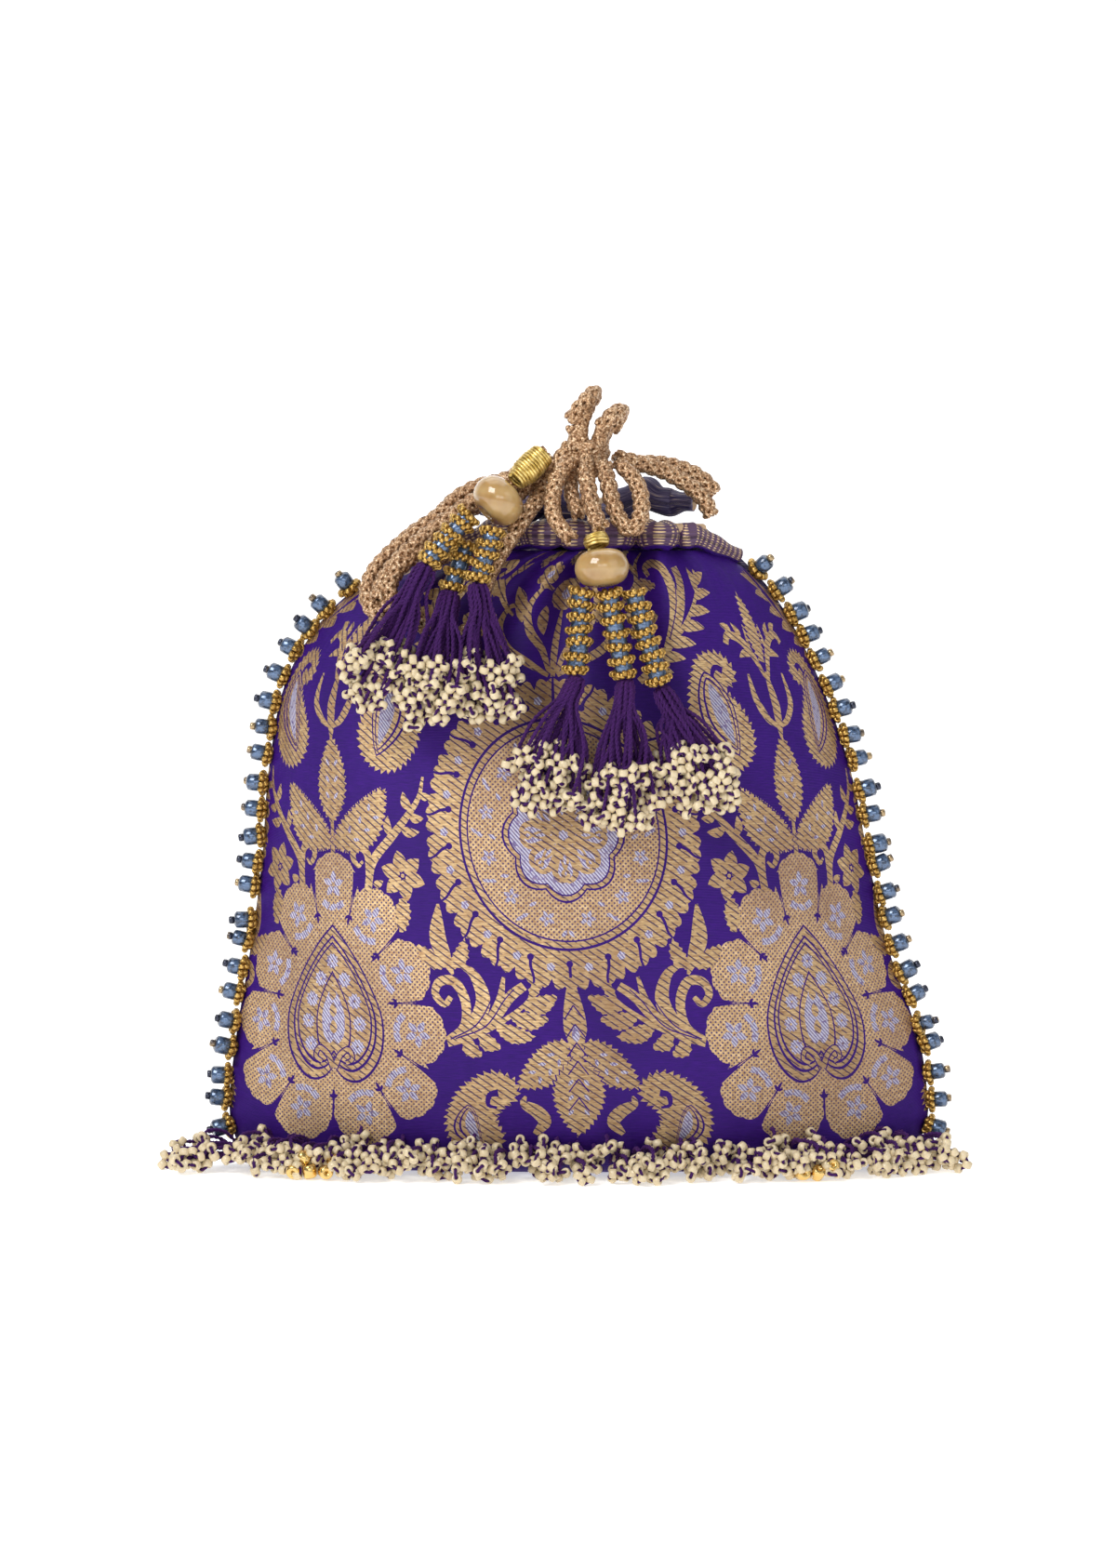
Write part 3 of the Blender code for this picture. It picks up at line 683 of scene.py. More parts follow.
# %% The medallion
MEDALLION = np.array((30.2, 33.0))


def ellipse(scale, count=96, lobes=0, depth=0.0):
    a = np.linspace(0, 2 * math.pi, count, endpoint=False)
    r = scale * (1 - depth * (1 - np.abs(np.cos(lobes * a / 2))) if lobes else 1.0)
    return np.stack([np.cos(a), np.sin(a)], axis=1) * MEDALLION * np.reshape(r, (-1, 1))


def medallion():
    leaves = 22
    a = np.linspace(0, 2 * math.pi, leaves * 12, endpoint=False)
    phase = (a * leaves / (2 * math.pi)) % 1
    edge = 1.35 + 0.035 * np.abs(np.sin(phase * 3 * math.pi)) - 0.06 * (np.abs(phase - 0.5) * 2) ** 8
    paint(np.stack([np.cos(a), np.sin(a)], axis=1) * MEDALLION * edge[:, None], ZARI)
    for k in range(leaves // 2 + 1):
        a = 2 * math.pi * k / leaves - math.pi / 2
        lean = 0.0 if k in (0, leaves // 2) else 1.0
        slit = [MEDALLION * r * (math.cos(a + lean * t), math.sin(a + lean * t)) for r, t in
                ((1.42, -0.02), (1.32, -0.01), (1.23, 0.03), (1.15, 0.05))]
        stroke(slit, 0.6, 1.0, weave=SILK)
        paint(scallop(slit[-1], 1.0, 6, 0.0), SILK)
        a += math.pi / leaves * 1.1
        if k < leaves // 2:
            dot = MEDALLION * 1.19 * (math.cos(a), math.sin(a))
            paint(scallop(dot, 1.3, 5, 0.25), SILVER)
    paint(ellipse(1.035), SILK)
    paint(ellipse(1.01), ZARI)
    paint(ellipse(0.955), SILK)
    paint(ellipse(0.94), NET)
    for k in range(6):
        a = 2 * math.pi * k / 12 + 0.26 - math.pi / 2
        centre = MEDALLION * 0.77 * (math.cos(a), math.sin(a))
        floret(centre, 2.6, a)
        for shift, r in ((0.24, 0.70), (0.27, 0.83), (-0.22, 0.88)):
            b = a + shift
            dash(MEDALLION * r * (math.cos(b), math.sin(b)), 2.6, 1.2, b + 0.6)
    paint(ellipse(0.605, lobes=8, depth=0.13), SILK)
    paint(ellipse(0.585, lobes=8, depth=0.13), ZARI)
    paint(ellipse(0.545, lobes=8, depth=0.13), SILK)
    paint(ellipse(0.53, lobes=8, depth=0.13), SILVER)
    for k in range(8):
        a = 2 * math.pi * k / 8
        c, s = math.cos(a), math.sin(a)
        turned = [(MEDALLION * (x * c - y * s, x * s + y * c)) for x, y in
                  ((0.05, 0.0), (0.2, 0.07), (0.34, 0.1), (0.41, 0.03), (0.35, -0.03), (0.29, 0.01))]
        stroke(turned, 1.5, 0.6, 1.8, ZARI)
        paint(leaf_outline(MEDALLION * 0.12 * (c, s), MEDALLION * 0.32 * (c, s), 2.6), ZARI)
        paint(leaf_outline(MEDALLION * 0.17 * (c, s), MEDALLION * 0.27 * (c, s), 1.0), SILVER)
    paint(scallop((0, 0), 3.6, 8, 0.3), ZARI)
    paint(scallop((0, 0), 1.5, 6, 0.3), SILVER)


# %% The flower with a heart at its middle
HEART = np.array((76.0, -51.5))
HEART_SIDE = ((0, 23.6), (5.6, 18), (11.6, 9.6), (16.2, 0), (17.4, -7), (16.2, -14.6), (12.6, -20.6),
              (8, -23.6), (3.4, -22.6), (0, -19.0))


def heart_outline(scale, lift=0.0):
    side = smooth(np.array(HEART_SIDE) * scale + (0, lift), 1.1)
    return np.vstack([side, (side * (-1, 1))[::-1][1:-1]]) + HEART


def heart_flower():
    petals = [(0, 34.6, 10.0), (14.6, 25.0, 9.8), (24.0, 10.0, 9.8), (27.4, -7.4, 9.8), (24.0, -24.6, 9.6),
              (10.8, -32.4, 10.8)]
    both = [(s * x, y, r) for x, y, r in petals for s in ((1, -1) if x else (1,))]
    paint(heart_outline(1.36, -1.0), NET)
    for x, y, r in both:
        turn = math.atan2(y, x)
        paint(scallop(HEART + (x, y), r, 13, 0.07, turn, 1.04), NET)
    ordered = sorted(both, key=lambda p: math.atan2(p[1], p[0]))
    for (x0, y0, _), (x1, y1, _) in zip(ordered, ordered[1:] + ordered[:1]):
        out = np.array(((x0 + x1) / 2, (y0 + y1) / 2))
        length = float(np.linalg.norm(out))
        out = out / length
        side = np.array((-out[1], out[0]))
        start, end = HEART + out * (length + 9.5), HEART + out * (length - 4.6)
        stroke((start, (start + end) / 2 + side * 0.3, end), 3.4, 0.55, 0.5, SILK)
        for reach, shift in ((0.4, 1.5), (-1.5, 0.0), (0.4, -1.5)):
            paint(leaf_outline(end + out * 1.2, end + out * reach + side * shift - out * 0.6, 0.95), SILK)
    for x, y, r in both:
        out = math.atan2(y, x)
        centre = HEART + (x, y)
        floret(centre + 0.8 * np.array((math.cos(out), math.sin(out))), 4.3, out)
        for k in (-1, 0, 1):
            b = out + math.pi + 0.5 * k
            dash(centre + 6.0 * np.array((math.cos(b), math.sin(b))), 3.6, 1.9, b + 1.1)
    for scale, weave in ((1.0, SILK), (0.965, ZARI), (0.86, SILK), (0.825, ZARI), (0.775, SILK),
                         (0.745, ZARI)):
        paint(heart_outline(scale, 0.4 * (1 - scale)), weave)
    for x, y in ((0, 12.6), (4.4, 7.2), (7.8, 1.0), (9.2, -5.6), (8.2, -12.4)):
        for sign in ((1, -1) if x else (1,)):
            floret(HEART + (sign * x, y), 2.5, 0.6)
    core = [(0, 9.8), (3.2, 4.6), (5.7, -1.6), (6.2, -7.4), (5.2, -13.2), (2.2, -16.6), (0, -14.6)]
    side = smooth(core, 0.9)
    for scale, weave in ((1.0, SILK), (0.93, ZARI), (0.66, SILVER)):
        half = side * scale + (0, -2.5 * (1 - scale))
        paint(np.vstack([half, (half * (-1, 1))[::-1][1:-1]]) + HEART, weave)
    for y in (3.2, -1.8, -6.8):
        paint(leaf_outline(HEART + (0, y - 2.2), HEART + (0, y + 2.2), 2.6, step=0.6), ZARI)
    for sign in (1, -1):
        hook = [(0.2, -19.2), (2.2, -15.2), (5.2, -13.4), (6.4, -16.2), (4.2, -17.6)]
        stroke([HEART + (sign * x, y) for x, y in hook], 2.6, 1.8, weave=SILK)
        stroke([HEART + (sign * x, y) for x, y in hook], 1.8, 1.0, weave=ZARI)


# %% Leaves, sprays and paisleys
def veined_leaf(root, tip, wide, bend=0.0, core=True):
    """A serrated leaf with silver patches down its middle and a silk line round it."""
    paint(serrate(leaf_outline(root, tip, wide + 1.3, bend * 1.02), 1.1, 1.9), SILK)
    paint(serrate(leaf_outline(root, tip, wide, bend), 1.1, 1.9), ZARI)
    root, tip = np.asarray(root, dtype=float), np.asarray(tip, dtype=float)
    if core:
        for t in (0.3, 0.5, 0.7):
            middle = root + (tip - root) * t
            ahead = math.atan2(*(tip - root)[::-1])
            side = np.array((-math.sin(ahead), math.cos(ahead)))
            swing = bend * math.sin(math.pi * t)
            for shift in (-0.17, 0.17):
                dash(middle + side * (swing + wide * shift), 2.5, 1.1, ahead + shift * 4)


def spray(stem, leaves, start=1.3, end=0.7):
    """A stem with plain curved leaves: each is where on the stem, a side, a length, a width and a bend."""
    line = smooth(stem, 0.9)
    for t, angle, length, wide, bend in leaves:
        k = min(int(t * (len(line) - 1)), len(line) - 2)
        ahead = line[k + 1] - line[k]
        a = math.atan2(ahead[1], ahead[0]) + math.radians(angle)
        tip = line[k] + length * np.array((math.cos(a), math.sin(a)))
        paint(leaf_outline(line[k], tip, wide, bend), ZARI)
    stroke(stem, start, end)


def paisley(points, core, hook):
    """A comma with a toothed edge, an outlined drop inside, and a silver core."""
    outline = smooth(points, 1.0, closed=True)
    paint(serrate(outline, 1.5, 2.1, 0.6), ZARI)
    stroke(hook, 2.2, 0.8, weave=SILK)
    root, tip, wide, bend = core
    for scale, weave in ((1.0, SILK), (0.9, ZARI), (0.72, SILK), (0.62, ZARI), (0.4, SILVER)):
        middle = (np.array(root) + tip) / 2
        a = middle + (np.array(root) - middle) * (0.55 + 0.45 * scale)
        b = middle + (np.array(tip) - middle) * (0.55 + 0.45 * scale)
        paint(leaf_outline(a, b, wide * scale, bend * scale), weave)


def field_motifs():
    # The palmette over the flower: three serrated leaves, a tulip and a crown of curled leaves.
    axis = 76.0
    stroke(((axis, -7.4), (axis, -4), (axis, 4)), 1.8, 1.2)
    for sign in (1, -1):
        veined_leaf((axis + sign * 1.2, -4.5), (axis + sign * 20.5, 12.5), 11.5, -sign * 2.6)
        for points, start, end, middle, weave in (
                (((1.0, 31), (4.6, 33), (8.2, 38.5), (8.6, 46.5)), 1.4, 0.9, 2.6, ZARI),
                (((0.5, 33), (3.6, 36), (5.0, 41), (4.2, 45.5)), 0.5, 0.4, 0.5, SILK),
                (((0.6, 45), (3.8, 52), (8, 56.8), (13, 58.2), (14.8, 55.6)), 1.2, 2.2, 2.6, ZARI)):
            stroke([(axis + sign * x, y) for x, y in points], start, end, middle, weave)
        for x, y, tip_x, tip_y in ((4.2, 52, 10.4, 51.4), (7.6, 56, 10, 62), (4.6, 54, 4.4, 61.5),
                                   (11, 58, 15.6, 61.6)):
            paint(leaf_outline((axis + sign * x, y), (axis + sign * tip_x, tip_y), 2.4, sign), ZARI)
    veined_leaf((axis, 3.0), (axis, 27.5), 10.8)
    stroke(((axis, 27), (axis, 32), (axis, 47)), 0.8, 1.0, 3.6)
    veined_leaf((axis, 50), (axis, 71), 5.0, core=False)

    # The vine between the flower and the medallion, with its scroll and the six-petalled flower below it.
    stroke(((62.6, -17.8), (60.6, -9), (53.6, -1.4), (48.2, 4.4), (43.6, 10.4), (41.8, 16.6)), 2.6, 0.8, 2.6)
    stroke(((62.2, -13), (62.4, -6.6), (65.6, -4.4), (68.0, -7.0), (66.2, -10.2), (64.2, -8.8)),
           2.0, 0.9, 2.6)
    for root, tip, wide, bend in (
            ((53.6, -1.2), (54.4, 5.0), 2.8, -0.8), ((50.2, 1.4), (43.8, 0.4), 3.0, 0.8),
            ((47.2, 5.6), (42.2, 4.4), 2.8, 0.8), ((46.2, 6.6), (48.8, 12.2), 3.0, -0.8),
            ((60.6, -15.4), (57.0, -14.4), 2.4, 0.4), ((43.2, 11.6), (39.4, 10.8), 2.4, 0.5)):
        paint(leaf_outline(root, tip, wide, bend), ZARI)
    flower = np.array((50.2, -12.6))
    for k in range(6):
        a = math.radians(60 * k + 18)
        paint(leaf_outline(flower + 0.9 * np.array((math.cos(a), math.sin(a))),
                           flower + 7.6 * np.array((math.cos(a), math.sin(a))), 4.6), ZARI)
    paint(scallop(flower, 1.0, 6, 0.0), SILK)
    paint(scallop(flower, 0.6, 6, 0.0), ZARI)
    paint(serrate(leaf_outline(flower + (0, -6.6), flower + (0.6, -16.8), 4.4), 0.7, 1.9), ZARI)

    # The great spray that grows from the flower's side petal towards the medallion.
    stroke(((38.6, -61.6), (31, -59.4), (22.4, -55.4), (14.6, -50.2), (9.8, -44.6)), 2.4, 0.8)
    for root, tip, wide, bend in (
            ((33.5, -60.4), (28.4, -65.2), 4.2, 0.9), ((28.6, -58.8), (22.6, -62.8), 4.4, 0.9),
            ((23.4, -56.4), (12.2, -59.4), 4.8, 1.0), ((18.6, -53.6), (7.6, -54.0), 4.8, 1.0),
            ((14.8, -50.6), (4.6, -47.4), 5.0, 1.0), ((12.4, -48.2), (8.4, -42.6), 2.6, -0.4)):
        paint(serrate(leaf_outline(root, tip, wide, bend), 0.45, 1.9), ZARI)
    stroke(((38.8, -60.6), (33.2, -56.4), (32.0, -49.4), (34.8, -43.6), (39.4, -43.6), (41.2, -47.2),
            (38.6, -50.2), (36.4, -48.0)), 1.4, 1.6, 3.0)
    stroke(((38.0, -60.2), (30.4, -56.0), (26.6, -48.8), (28.6, -41.6), (32.4, -38.6)), 1.2, 1.6, 4.4)
    stroke(((36.6, -60.6), (27.4, -57.0), (22.0, -49.6), (19.8, -41.8)), 1.0, 1.0, 2.8)
    stroke(((35.0, -60.0), (25.6, -55.8), (18.8, -48.0), (14.0, -44.4)), 1.0, 2.6, 3.0)
    stroke(((37.6, -60.4), (29.6, -56.2), (24.4, -49.0), (22.6, -43.2)), 0.4, 0.3, 0.4, SILK)
    stroke(((36.0, -60.2), (26.6, -56.4), (20.2, -48.6), (17.0, -45.4)), 0.4, 0.3, 0.4, SILK)
    stroke(((35.2, -41.4), (37.4, -36.0), (39.4, -30.4), (39.0, -20.6)), 0.8, 0.8, 5.2)
    for root, tip, wide, bend in (
            ((35.8, -39.6), (31.0, -31.0), 4.0, 1.2), ((36.4, -38.6), (46.2, -33.2), 4.6, -1.2)):
        paint(serrate(leaf_outline(root, tip, wide, bend), 0.6, 1.9), ZARI)

    # Under the medallion: the long stem and its three leaves.
    stroke(((0, -42), (0, -50), (0, -58), (0, -70)), 1.2, 3.0, 6.8)
    stroke(((4.6, -56), (2.8, -62), (2.2, -68)), 1.6, 0.8, weave=SILK)
    veined_leaf((3.0, -61), (17.6, -74.6), 9.8, -1.2)
    veined_leaf((0, -66), (0, -90), 14.0)
    for y in (-50, -55.5, -61, -66.5, -72, -78):
        for sign in (1, -1):
            stroke(((sign * 3.0, y - 4.2), (0, y)), 0.4, 0.4, weave=SILK, step=0.6)
    paint(leaf_outline((0, -61), (0, -56), 2.4), SILVER)
    stroke(((13.2, -90), (10.2, -86), (12.4, -82.6), (16.4, -80), (15.8, -77.6)), 1.6, 0.8, 4.2)

    # The paisley at the foot, and the one beside the palmette.
    paisley(((20.2, -72.4), (25.0, -70.6), (31.4, -73.0), (36.4, -78.0), (39.2, -85.4), (37.4, -93),
             (31.4, -97.6), (25.4, -96.0), (23.0, -91), (25.2, -85.4), (23.6, -81.6), (19.6, -78.6),
             (18.6, -75)),
            ((33.4, -80.6), (29.0, -95), 8.0, 2.4),
            ((24.0, -76.6), (26.6, -77.4), (27.0, -80.6), (24.4, -81.4)))
    paisley(((52.6, 52.6), (48.0, 50.8), (44.6, 44.6), (42.4, 36.0), (43.4, 27.0), (48.6, 20.4),
             (55.4, 18.6), (61.6, 22.0), (63.6, 28.4), (60.8, 35.4), (56.6, 40.4), (56.0, 43.4),
             (59.6, 44.2), (61.0, 47.6), (57.6, 51.8)),
            ((49.4, 47.4), (57.6, 22.4), 12.6, -1.6),
            ((56.8, 47.6), (54.2, 48.6), (52.4, 46.2), (54.4, 43.4)))

    # The top spray: a plume with feathered sides, a hook and a broad leaf, beside the little flower.
    spray(((27.0, 44.6), (33.4, 49.6), (41.0, 57.0), (48.6, 64.4), (54.6, 72.0), (57.4, 79)), (
        (0.10, -38, 8.4, 3.2, 1.0), (0.22, -40, 9.4, 3.4, 1.0), (0.36, -42, 9.8, 3.6, 1.0),
        (0.50, -42, 9.6, 3.6, 1.0), (0.64, -42, 9.4, 3.4, 1.0), (0.78, -40, 8.8, 3.2, 1.0),
        (0.90, -34, 7.6, 3.0, 0.8), (0.84, 34, 8.6, 3.2, -0.8), (0.30, 24, 7.0, 2.0, -0.6)), 2.2, 1.0)
    stroke(((36.6, 53), (41.2, 62), (43.2, 71.4), (40.6, 79.2), (35.6, 81.4), (31.6, 79.6), (33.2, 76.8)),
           1.4, 1.8, 4.2)
    stroke(((40.6, 57), (45.2, 66), (47.6, 75), (46.8, 80)), 1.4, 3.6, 3.0)
    stroke(((39.0, 57), (43.4, 67), (45.2, 75)), 0.4, 0.4, weave=SILK)
    stroke(((17.0, 64.4), (22.4, 68.2), (27.4, 74.0), (27.0, 81.0), (29.8, 86.0)), 0.9, 0.8, 2.0)
    paint(serrate(leaf_outline((25.4, 70.8), (36.0, 73.6), 4.4, 1.4), 0.5, 1.9), ZARI)
    paint(leaf_outline((27.2, 77), (23.4, 81.6), 2.0), ZARI)
    bloom = np.array((29.4, 62.4))
    for k in range(5):
        a = math.radians(72 * k + 90)
        paint(leaf_outline(bloom + 0.8 * np.array((math.cos(a), math.sin(a))),
                           bloom + 6.6 * np.array((math.cos(a), math.sin(a))), 4.2), ZARI)
    paint(scallop(bloom, 1.0, 6, 0.0), SILK)
    stroke(((29.8, 57), (31.2, 52.4), (29.6, 48.2)), 2.4, 0.7)

    # The middle above the medallion: a lyre of stems with lobed blossoms.
    stroke(((1.0, 47), (4.0, 54), (9.6, 60), (12.4, 67), (9.8, 73.4), (5.6, 72.4)), 1.2, 0.9, 2.6)
    stroke(((1.4, 46.4), (8.4, 50.4), (15.6, 54.4), (20.4, 60.6), (19.8, 66.6), (16.2, 67.6)), 1.2, 1.2, 2.8)
    stroke(((0, 46), (0, 56), (0, 66)), 1.4, 0.8, 2.2)
    paint(scallop((10.6, 77.6), 4.6, 6, 0.26), ZARI)
    paint(scallop((10.6, 77.6), 1.4, 5, 0.2), SILVER)
    paint(scallop((0, 71.0), 5.2, 7, 0.24), ZARI)
    floret((0, 71.0), 2.0)
    paint(leaf_outline((6.2, 67.4), (4.4, 58.4), 3.8, 0.6), ZARI)
    paint(leaf_outline((13.0, 62.2), (20.6, 73.4), 4.2, 1.0), ZARI)
    paint(serrate(leaf_outline((3.0, 81), (9.6, 92), 4.4), 0.6, 1.9), ZARI)
    paint(serrate(leaf_outline((16.6, 80), (21.6, 90), 4.2), 0.6, 1.9), ZARI)


medallion()
heart_flower()
field_motifs()
print("outlines drawn:", len(art))

# %% [markdown]
# ## Cutting the cloth along the drawing
#
# A constrained triangulation takes a sheet's grid and all the outlines at once and returns a mesh whose
# edges follow every outline. Then each triangle asks which painted patch lies on top of it. The same
# drawing serves the front and the back. The inner sheet of the wall has no pattern, only the same rim, so
# the two sheets close into one body.

# %% Triangles with a weave each
MEDALLION_HEIGHT = 125.0
REPEAT = 76.0
GRID = 3.0
REVERSE = 4                   # after the four weaves, the plain back of the cloth


def repeats(outline):
    """The outline and its mirror images on the cloth, in cloth coordinates."""
    flat = outline + (0, MEDALLION_HEIGHT)
    for flip, shift in ((1, 0), (-1, 0), (-1, 2 * REPEAT), (1, -2 * REPEAT)):
        yield flat * (flip, 1) + (shift, 0)


def cloth_drawing(top):
    """Every repeat that touches the cloth, in painting order."""
    drawn = []
    for outline, weave in art:
        seen = []
        for copy in repeats(outline):
            low, high = copy.min(axis=0), copy.max(axis=0)
            if low[0] > HALF_CLOTH or high[0] < -HALF_CLOTH or low[1] > top or high[1] < 6:
                continue
            if any(np.abs(low - other).max() < 0.05 for other in seen):
                continue
            seen.append(low)
            drawn.append((copy, weave))
    return drawn


def cut_cloth(top):
    """Flat points, triangles, and the weave of each triangle."""
    drawn = cloth_drawing(top)
    columns = np.linspace(-HALF_CLOTH, HALF_CLOTH, round(2 * HALF_CLOTH / GRID) + 1)
    rows = np.linspace(0, top, round(top / GRID) + 1)
    grid_u, grid_v = np.meshgrid(columns, rows)
    points = [np.stack([grid_u.ravel(), grid_v.ravel()], axis=1)]
    wide, tall = len(columns), len(rows)
    bottom = list(range(wide))
    right = [j * wide + wide - 1 for j in range(1, tall)]
    upper = [(tall - 1) * wide + i for i in range(wide - 2, -1, -1)]
    left = [j * wide for j in range(tall - 2, 0, -1)]
    rim = bottom + right + upper + left
    edges = list(zip(rim, rim[1:] + rim[:1]))
    count = wide * tall
    for outline, _ in drawn:
        across, up = outline.T
        inside = (np.abs(across) < HALF_CLOTH - 0.3) & (up > 0.3) & (up < top - 0.3)
        points.append(outline)
        n = len(outline)
        edges += [(count + k, count + (k + 1) % n) for k in range(n) if inside[k] and inside[(k + 1) % n]]
        points[-1] = np.where(inside[:, None], outline, (0.0, top / 2 + 0.123))
        count += n
    flat = np.vstack(points)
    result = delaunay_2d_cdt([Vector(p) for p in flat.tolist()], edges, [], 0, 0.02, False)
    flat = np.array([tuple(p) for p in result[0]])
    triangles = np.array([f for f in result[2] if len(f) == 3], dtype=np.int64)
    corners = flat[triangles]
    area = ((corners[:, 1, 0] - corners[:, 0, 0]) * (corners[:, 2, 1] - corners[:, 0, 1])
            - (corners[:, 2, 0] - corners[:, 0, 0]) * (corners[:, 1, 1] - corners[:, 0, 1]))
    triangles[area < 0] = triangles[area < 0][:, ::-1]
    triangles = triangles[np.abs(area) > 1e-9]
    return flat, triangles, weave_of(flat[triangles].mean(axis=1), drawn)


def weave_of(centres, drawn):
    """The weave of the last patch painted over each of these places."""
    order = np.argsort(centres[:, 0])
    xs = centres[order, 0]
    weave = np.zeros(len(centres), dtype=np.int32)
    for outline, kind in drawn:
        (x0, y0), (x1, y1) = outline.min(axis=0), outline.max(axis=0)
        near = order[np.searchsorted(xs, x0):np.searchsorted(xs, x1)]
        near = near[(centres[near, 1] > y0) & (centres[near, 1] < y1)]
        if not len(near):
            continue
        px, py = centres[near, 0][:, None], centres[near, 1][:, None]
        ax, ay = outline[:, 0], outline[:, 1]
        bx, by = np.roll(ax, -1), np.roll(ay, -1)
        rise = np.where(by == ay, 1e-12, by - ay)
        crossing = ((ay > py) != (by > py)) & (px < (bx - ax) * (py - ay) / rise + ax)
        weave[near[crossing.sum(axis=1) % 2 == 1]] = kind
    return weave


# %% [markdown]
# ## What the weaves look like
#
# Silk satin is smooth with a fine crosswise rib, and it is strongest in colour where it turns away.
# Gold weft, called zari, lies over it in long floats that are tied down along slanting lines, so it shows
# fine crosswise threads broken by dark diagonals. Where the ties are set close, in a lattice, the ground
# shows through in dots and the patch looks like a net. Silver is laid in short slanted bars. All four are
# computed from the cloth's own flat coordinates, so the threads follow every pleat.

# %% Weave materials
CLOTH_MAP = (2 * HALF_CLOTH, 215.0, 1.0)


def weave_shader(name, **constants):
    shader = Shader(name, **constants)
    cloth = shader.uv("OFBake", CLOTH_MAP)
    u, v, _ = shader.parts(cloth)
    return shader, cloth, u, v


def creases(shader, cloth):
    """Soft creases of a stuffed and handled cloth, 0 to about 1: a bump height, and in silk, gold and
    net also the mask of painted shade in their low parts.
    """
    slow = shader.noise(cloth, 0.022, 2.0, 0.5)
    long_folds = shader.noise(shader.stretch(cloth, (1, 0.35, 1)), 0.06, 3.0, 0.6)
    return slow * 0.6 + long_folds * 0.4


def silk_finish():
    shader, cloth, _, v = weave_shader("silk_satin", Sheen_Weight=0.05, Sheen_Roughness=0.35,
                                       Sheen_Tint=(0.35, 0.2, 1.0, 1), Specular_IOR_Level=0.16)
    rib = shader.wave(v, 0.42)
    slub = shader.noise(shader.stretch(cloth, (0.25, 3.0, 1)), 1.0, 3.0, 0.65)
    broad = shader.noise(cloth, 0.05)
    colour = shader.mix(shader.ramp(slub, 0.35, 0.75), (0.026, 0.003, 0.125), (0.058, 0.007, 0.24))
    colour = shader.mix(rib * 0.35, colour, (0.022, 0.004, 0.14))
    colour = shader.mix(shader.ramp(broad, 0.45, 0.75) * 0.3, colour, (0.045, 0.008, 0.21))
    crease = creases(shader, cloth)
    # Painted shade: the colour darkens in the low parts of the soft creases.
    colour = shader.mix(shader.ramp(crease, 0.62, 0.38) * 0.4, colour, (0.016, 0.003, 0.085))
    shader.bump(rib * 0.6 + slub * 0.5 + crease * 34, 0.00012, 0.7)
    return shader.set(Base_Color=colour, Roughness=0.44 + 0.14 * slub)


def zari_finish():
    shader, cloth, u, v = weave_shader("gold_zari", Specular_IOR_Level=0.6)
    thread = shader.wave(v + 0.12 * shader.wave(u, 3.0), 0.36)
    tie_line = shader.wave(u * 0.82 + v * 1.15 + 0.5 * shader.noise(cloth, 0.4), 2.5)
    tie = shader.ramp(tie_line, 0.80, 0.93) * shader.ramp(shader.noise(cloth, 0.45, 1.0), 0.34, 0.46)
    streak = shader.noise(shader.stretch(cloth, (0.3, 2.2, 1)), 1.0, 2.0, 0.6)
    colour = shader.mix(shader.ramp(streak, 0.3, 0.7), (0.40, 0.215, 0.08), (1.0, 0.76, 0.40))
    colour = shader.mix((1 - thread) * 0.5, colour, (0.20, 0.09, 0.06))
    crease = creases(shader, cloth)
    # Painted shade: the gold darkens in the low parts of the soft creases.
    colour = shader.mix(shader.ramp(crease, 0.60, 0.36) * 0.55, colour, (0.27, 0.145, 0.075))
    colour = shader.mix(tie * 0.95, colour, (0.045, 0.012, 0.075))
    shader.bump(thread * 0.7 - tie * 0.8 + crease * 26, 0.00016, 0.8)
    return shader.set(Base_Color=colour, Metallic=0.62 - 0.4 * tie, Roughness=0.36 + 0.12 * streak)


def net_finish():
    shader, cloth, u, v = weave_shader("gold_net", Specular_IOR_Level=0.6)
    pitch = 1.05
    slant_a, slant_b = u + v * 1.02, u - v * 1.02
    hole = shader.wave(slant_a, pitch * 1.5) * shader.wave(slant_b, pitch * 1.5)
    open_spot = shader.ramp(hole, 0.36, 0.52)
    thread = shader.wave(v, 0.36)
    streak = shader.noise(cloth, 0.9)
    colour = shader.mix(shader.ramp(streak, 0.3, 0.7), (0.50, 0.29, 0.12), (1.0, 0.74, 0.40))
    colour = shader.mix((1 - thread) * 0.35, colour, (0.26, 0.13, 0.10))
    colour = shader.mix(open_spot * 0.95, colour, (0.04, 0.008, 0.11))
    crease = creases(shader, cloth)
    # Painted shade: the net darkens in the low parts of the soft creases.
    colour = shader.mix(shader.ramp(crease, 0.60, 0.36) * 0.5, colour, (0.20, 0.10, 0.07))
    shader.bump(thread * 0.5 - open_spot + crease * 20, 0.0002, 0.8)
    return shader.set(Base_Color=colour, Metallic=0.5 * (1 - open_spot), Roughness=0.46 + 0.1 * open_spot)


def silver_finish():
    shader, cloth, u, v = weave_shader("silver_zari", Specular_IOR_Level=0.6)
    bar = shader.wave(u * 0.9 + v * 0.75, 1.0) * shader.ramp(shader.noise(cloth, 0.7, 2.0), 0.30, 0.5)
    thread = shader.wave(v, 0.3)
    patch = shader.noise(cloth, 1.2)
    colour = shader.mix(shader.ramp(bar, 0.25, 0.5), (0.15, 0.11, 0.27), (0.58, 0.58, 0.74))
    colour = shader.mix(shader.ramp(patch, 0.45, 0.7) * 0.35, colour, (0.55, 0.42, 0.34))
    colour = shader.mix((1 - thread) * 0.2, colour, (0.2, 0.17, 0.3))
    shader.bump(bar + thread * 0.3 + creases(shader, cloth) * 22, 0.00018, 0.8)
    return shader.set(Base_Color=colour, Metallic=0.5, Roughness=0.36 + 0.1 * patch)


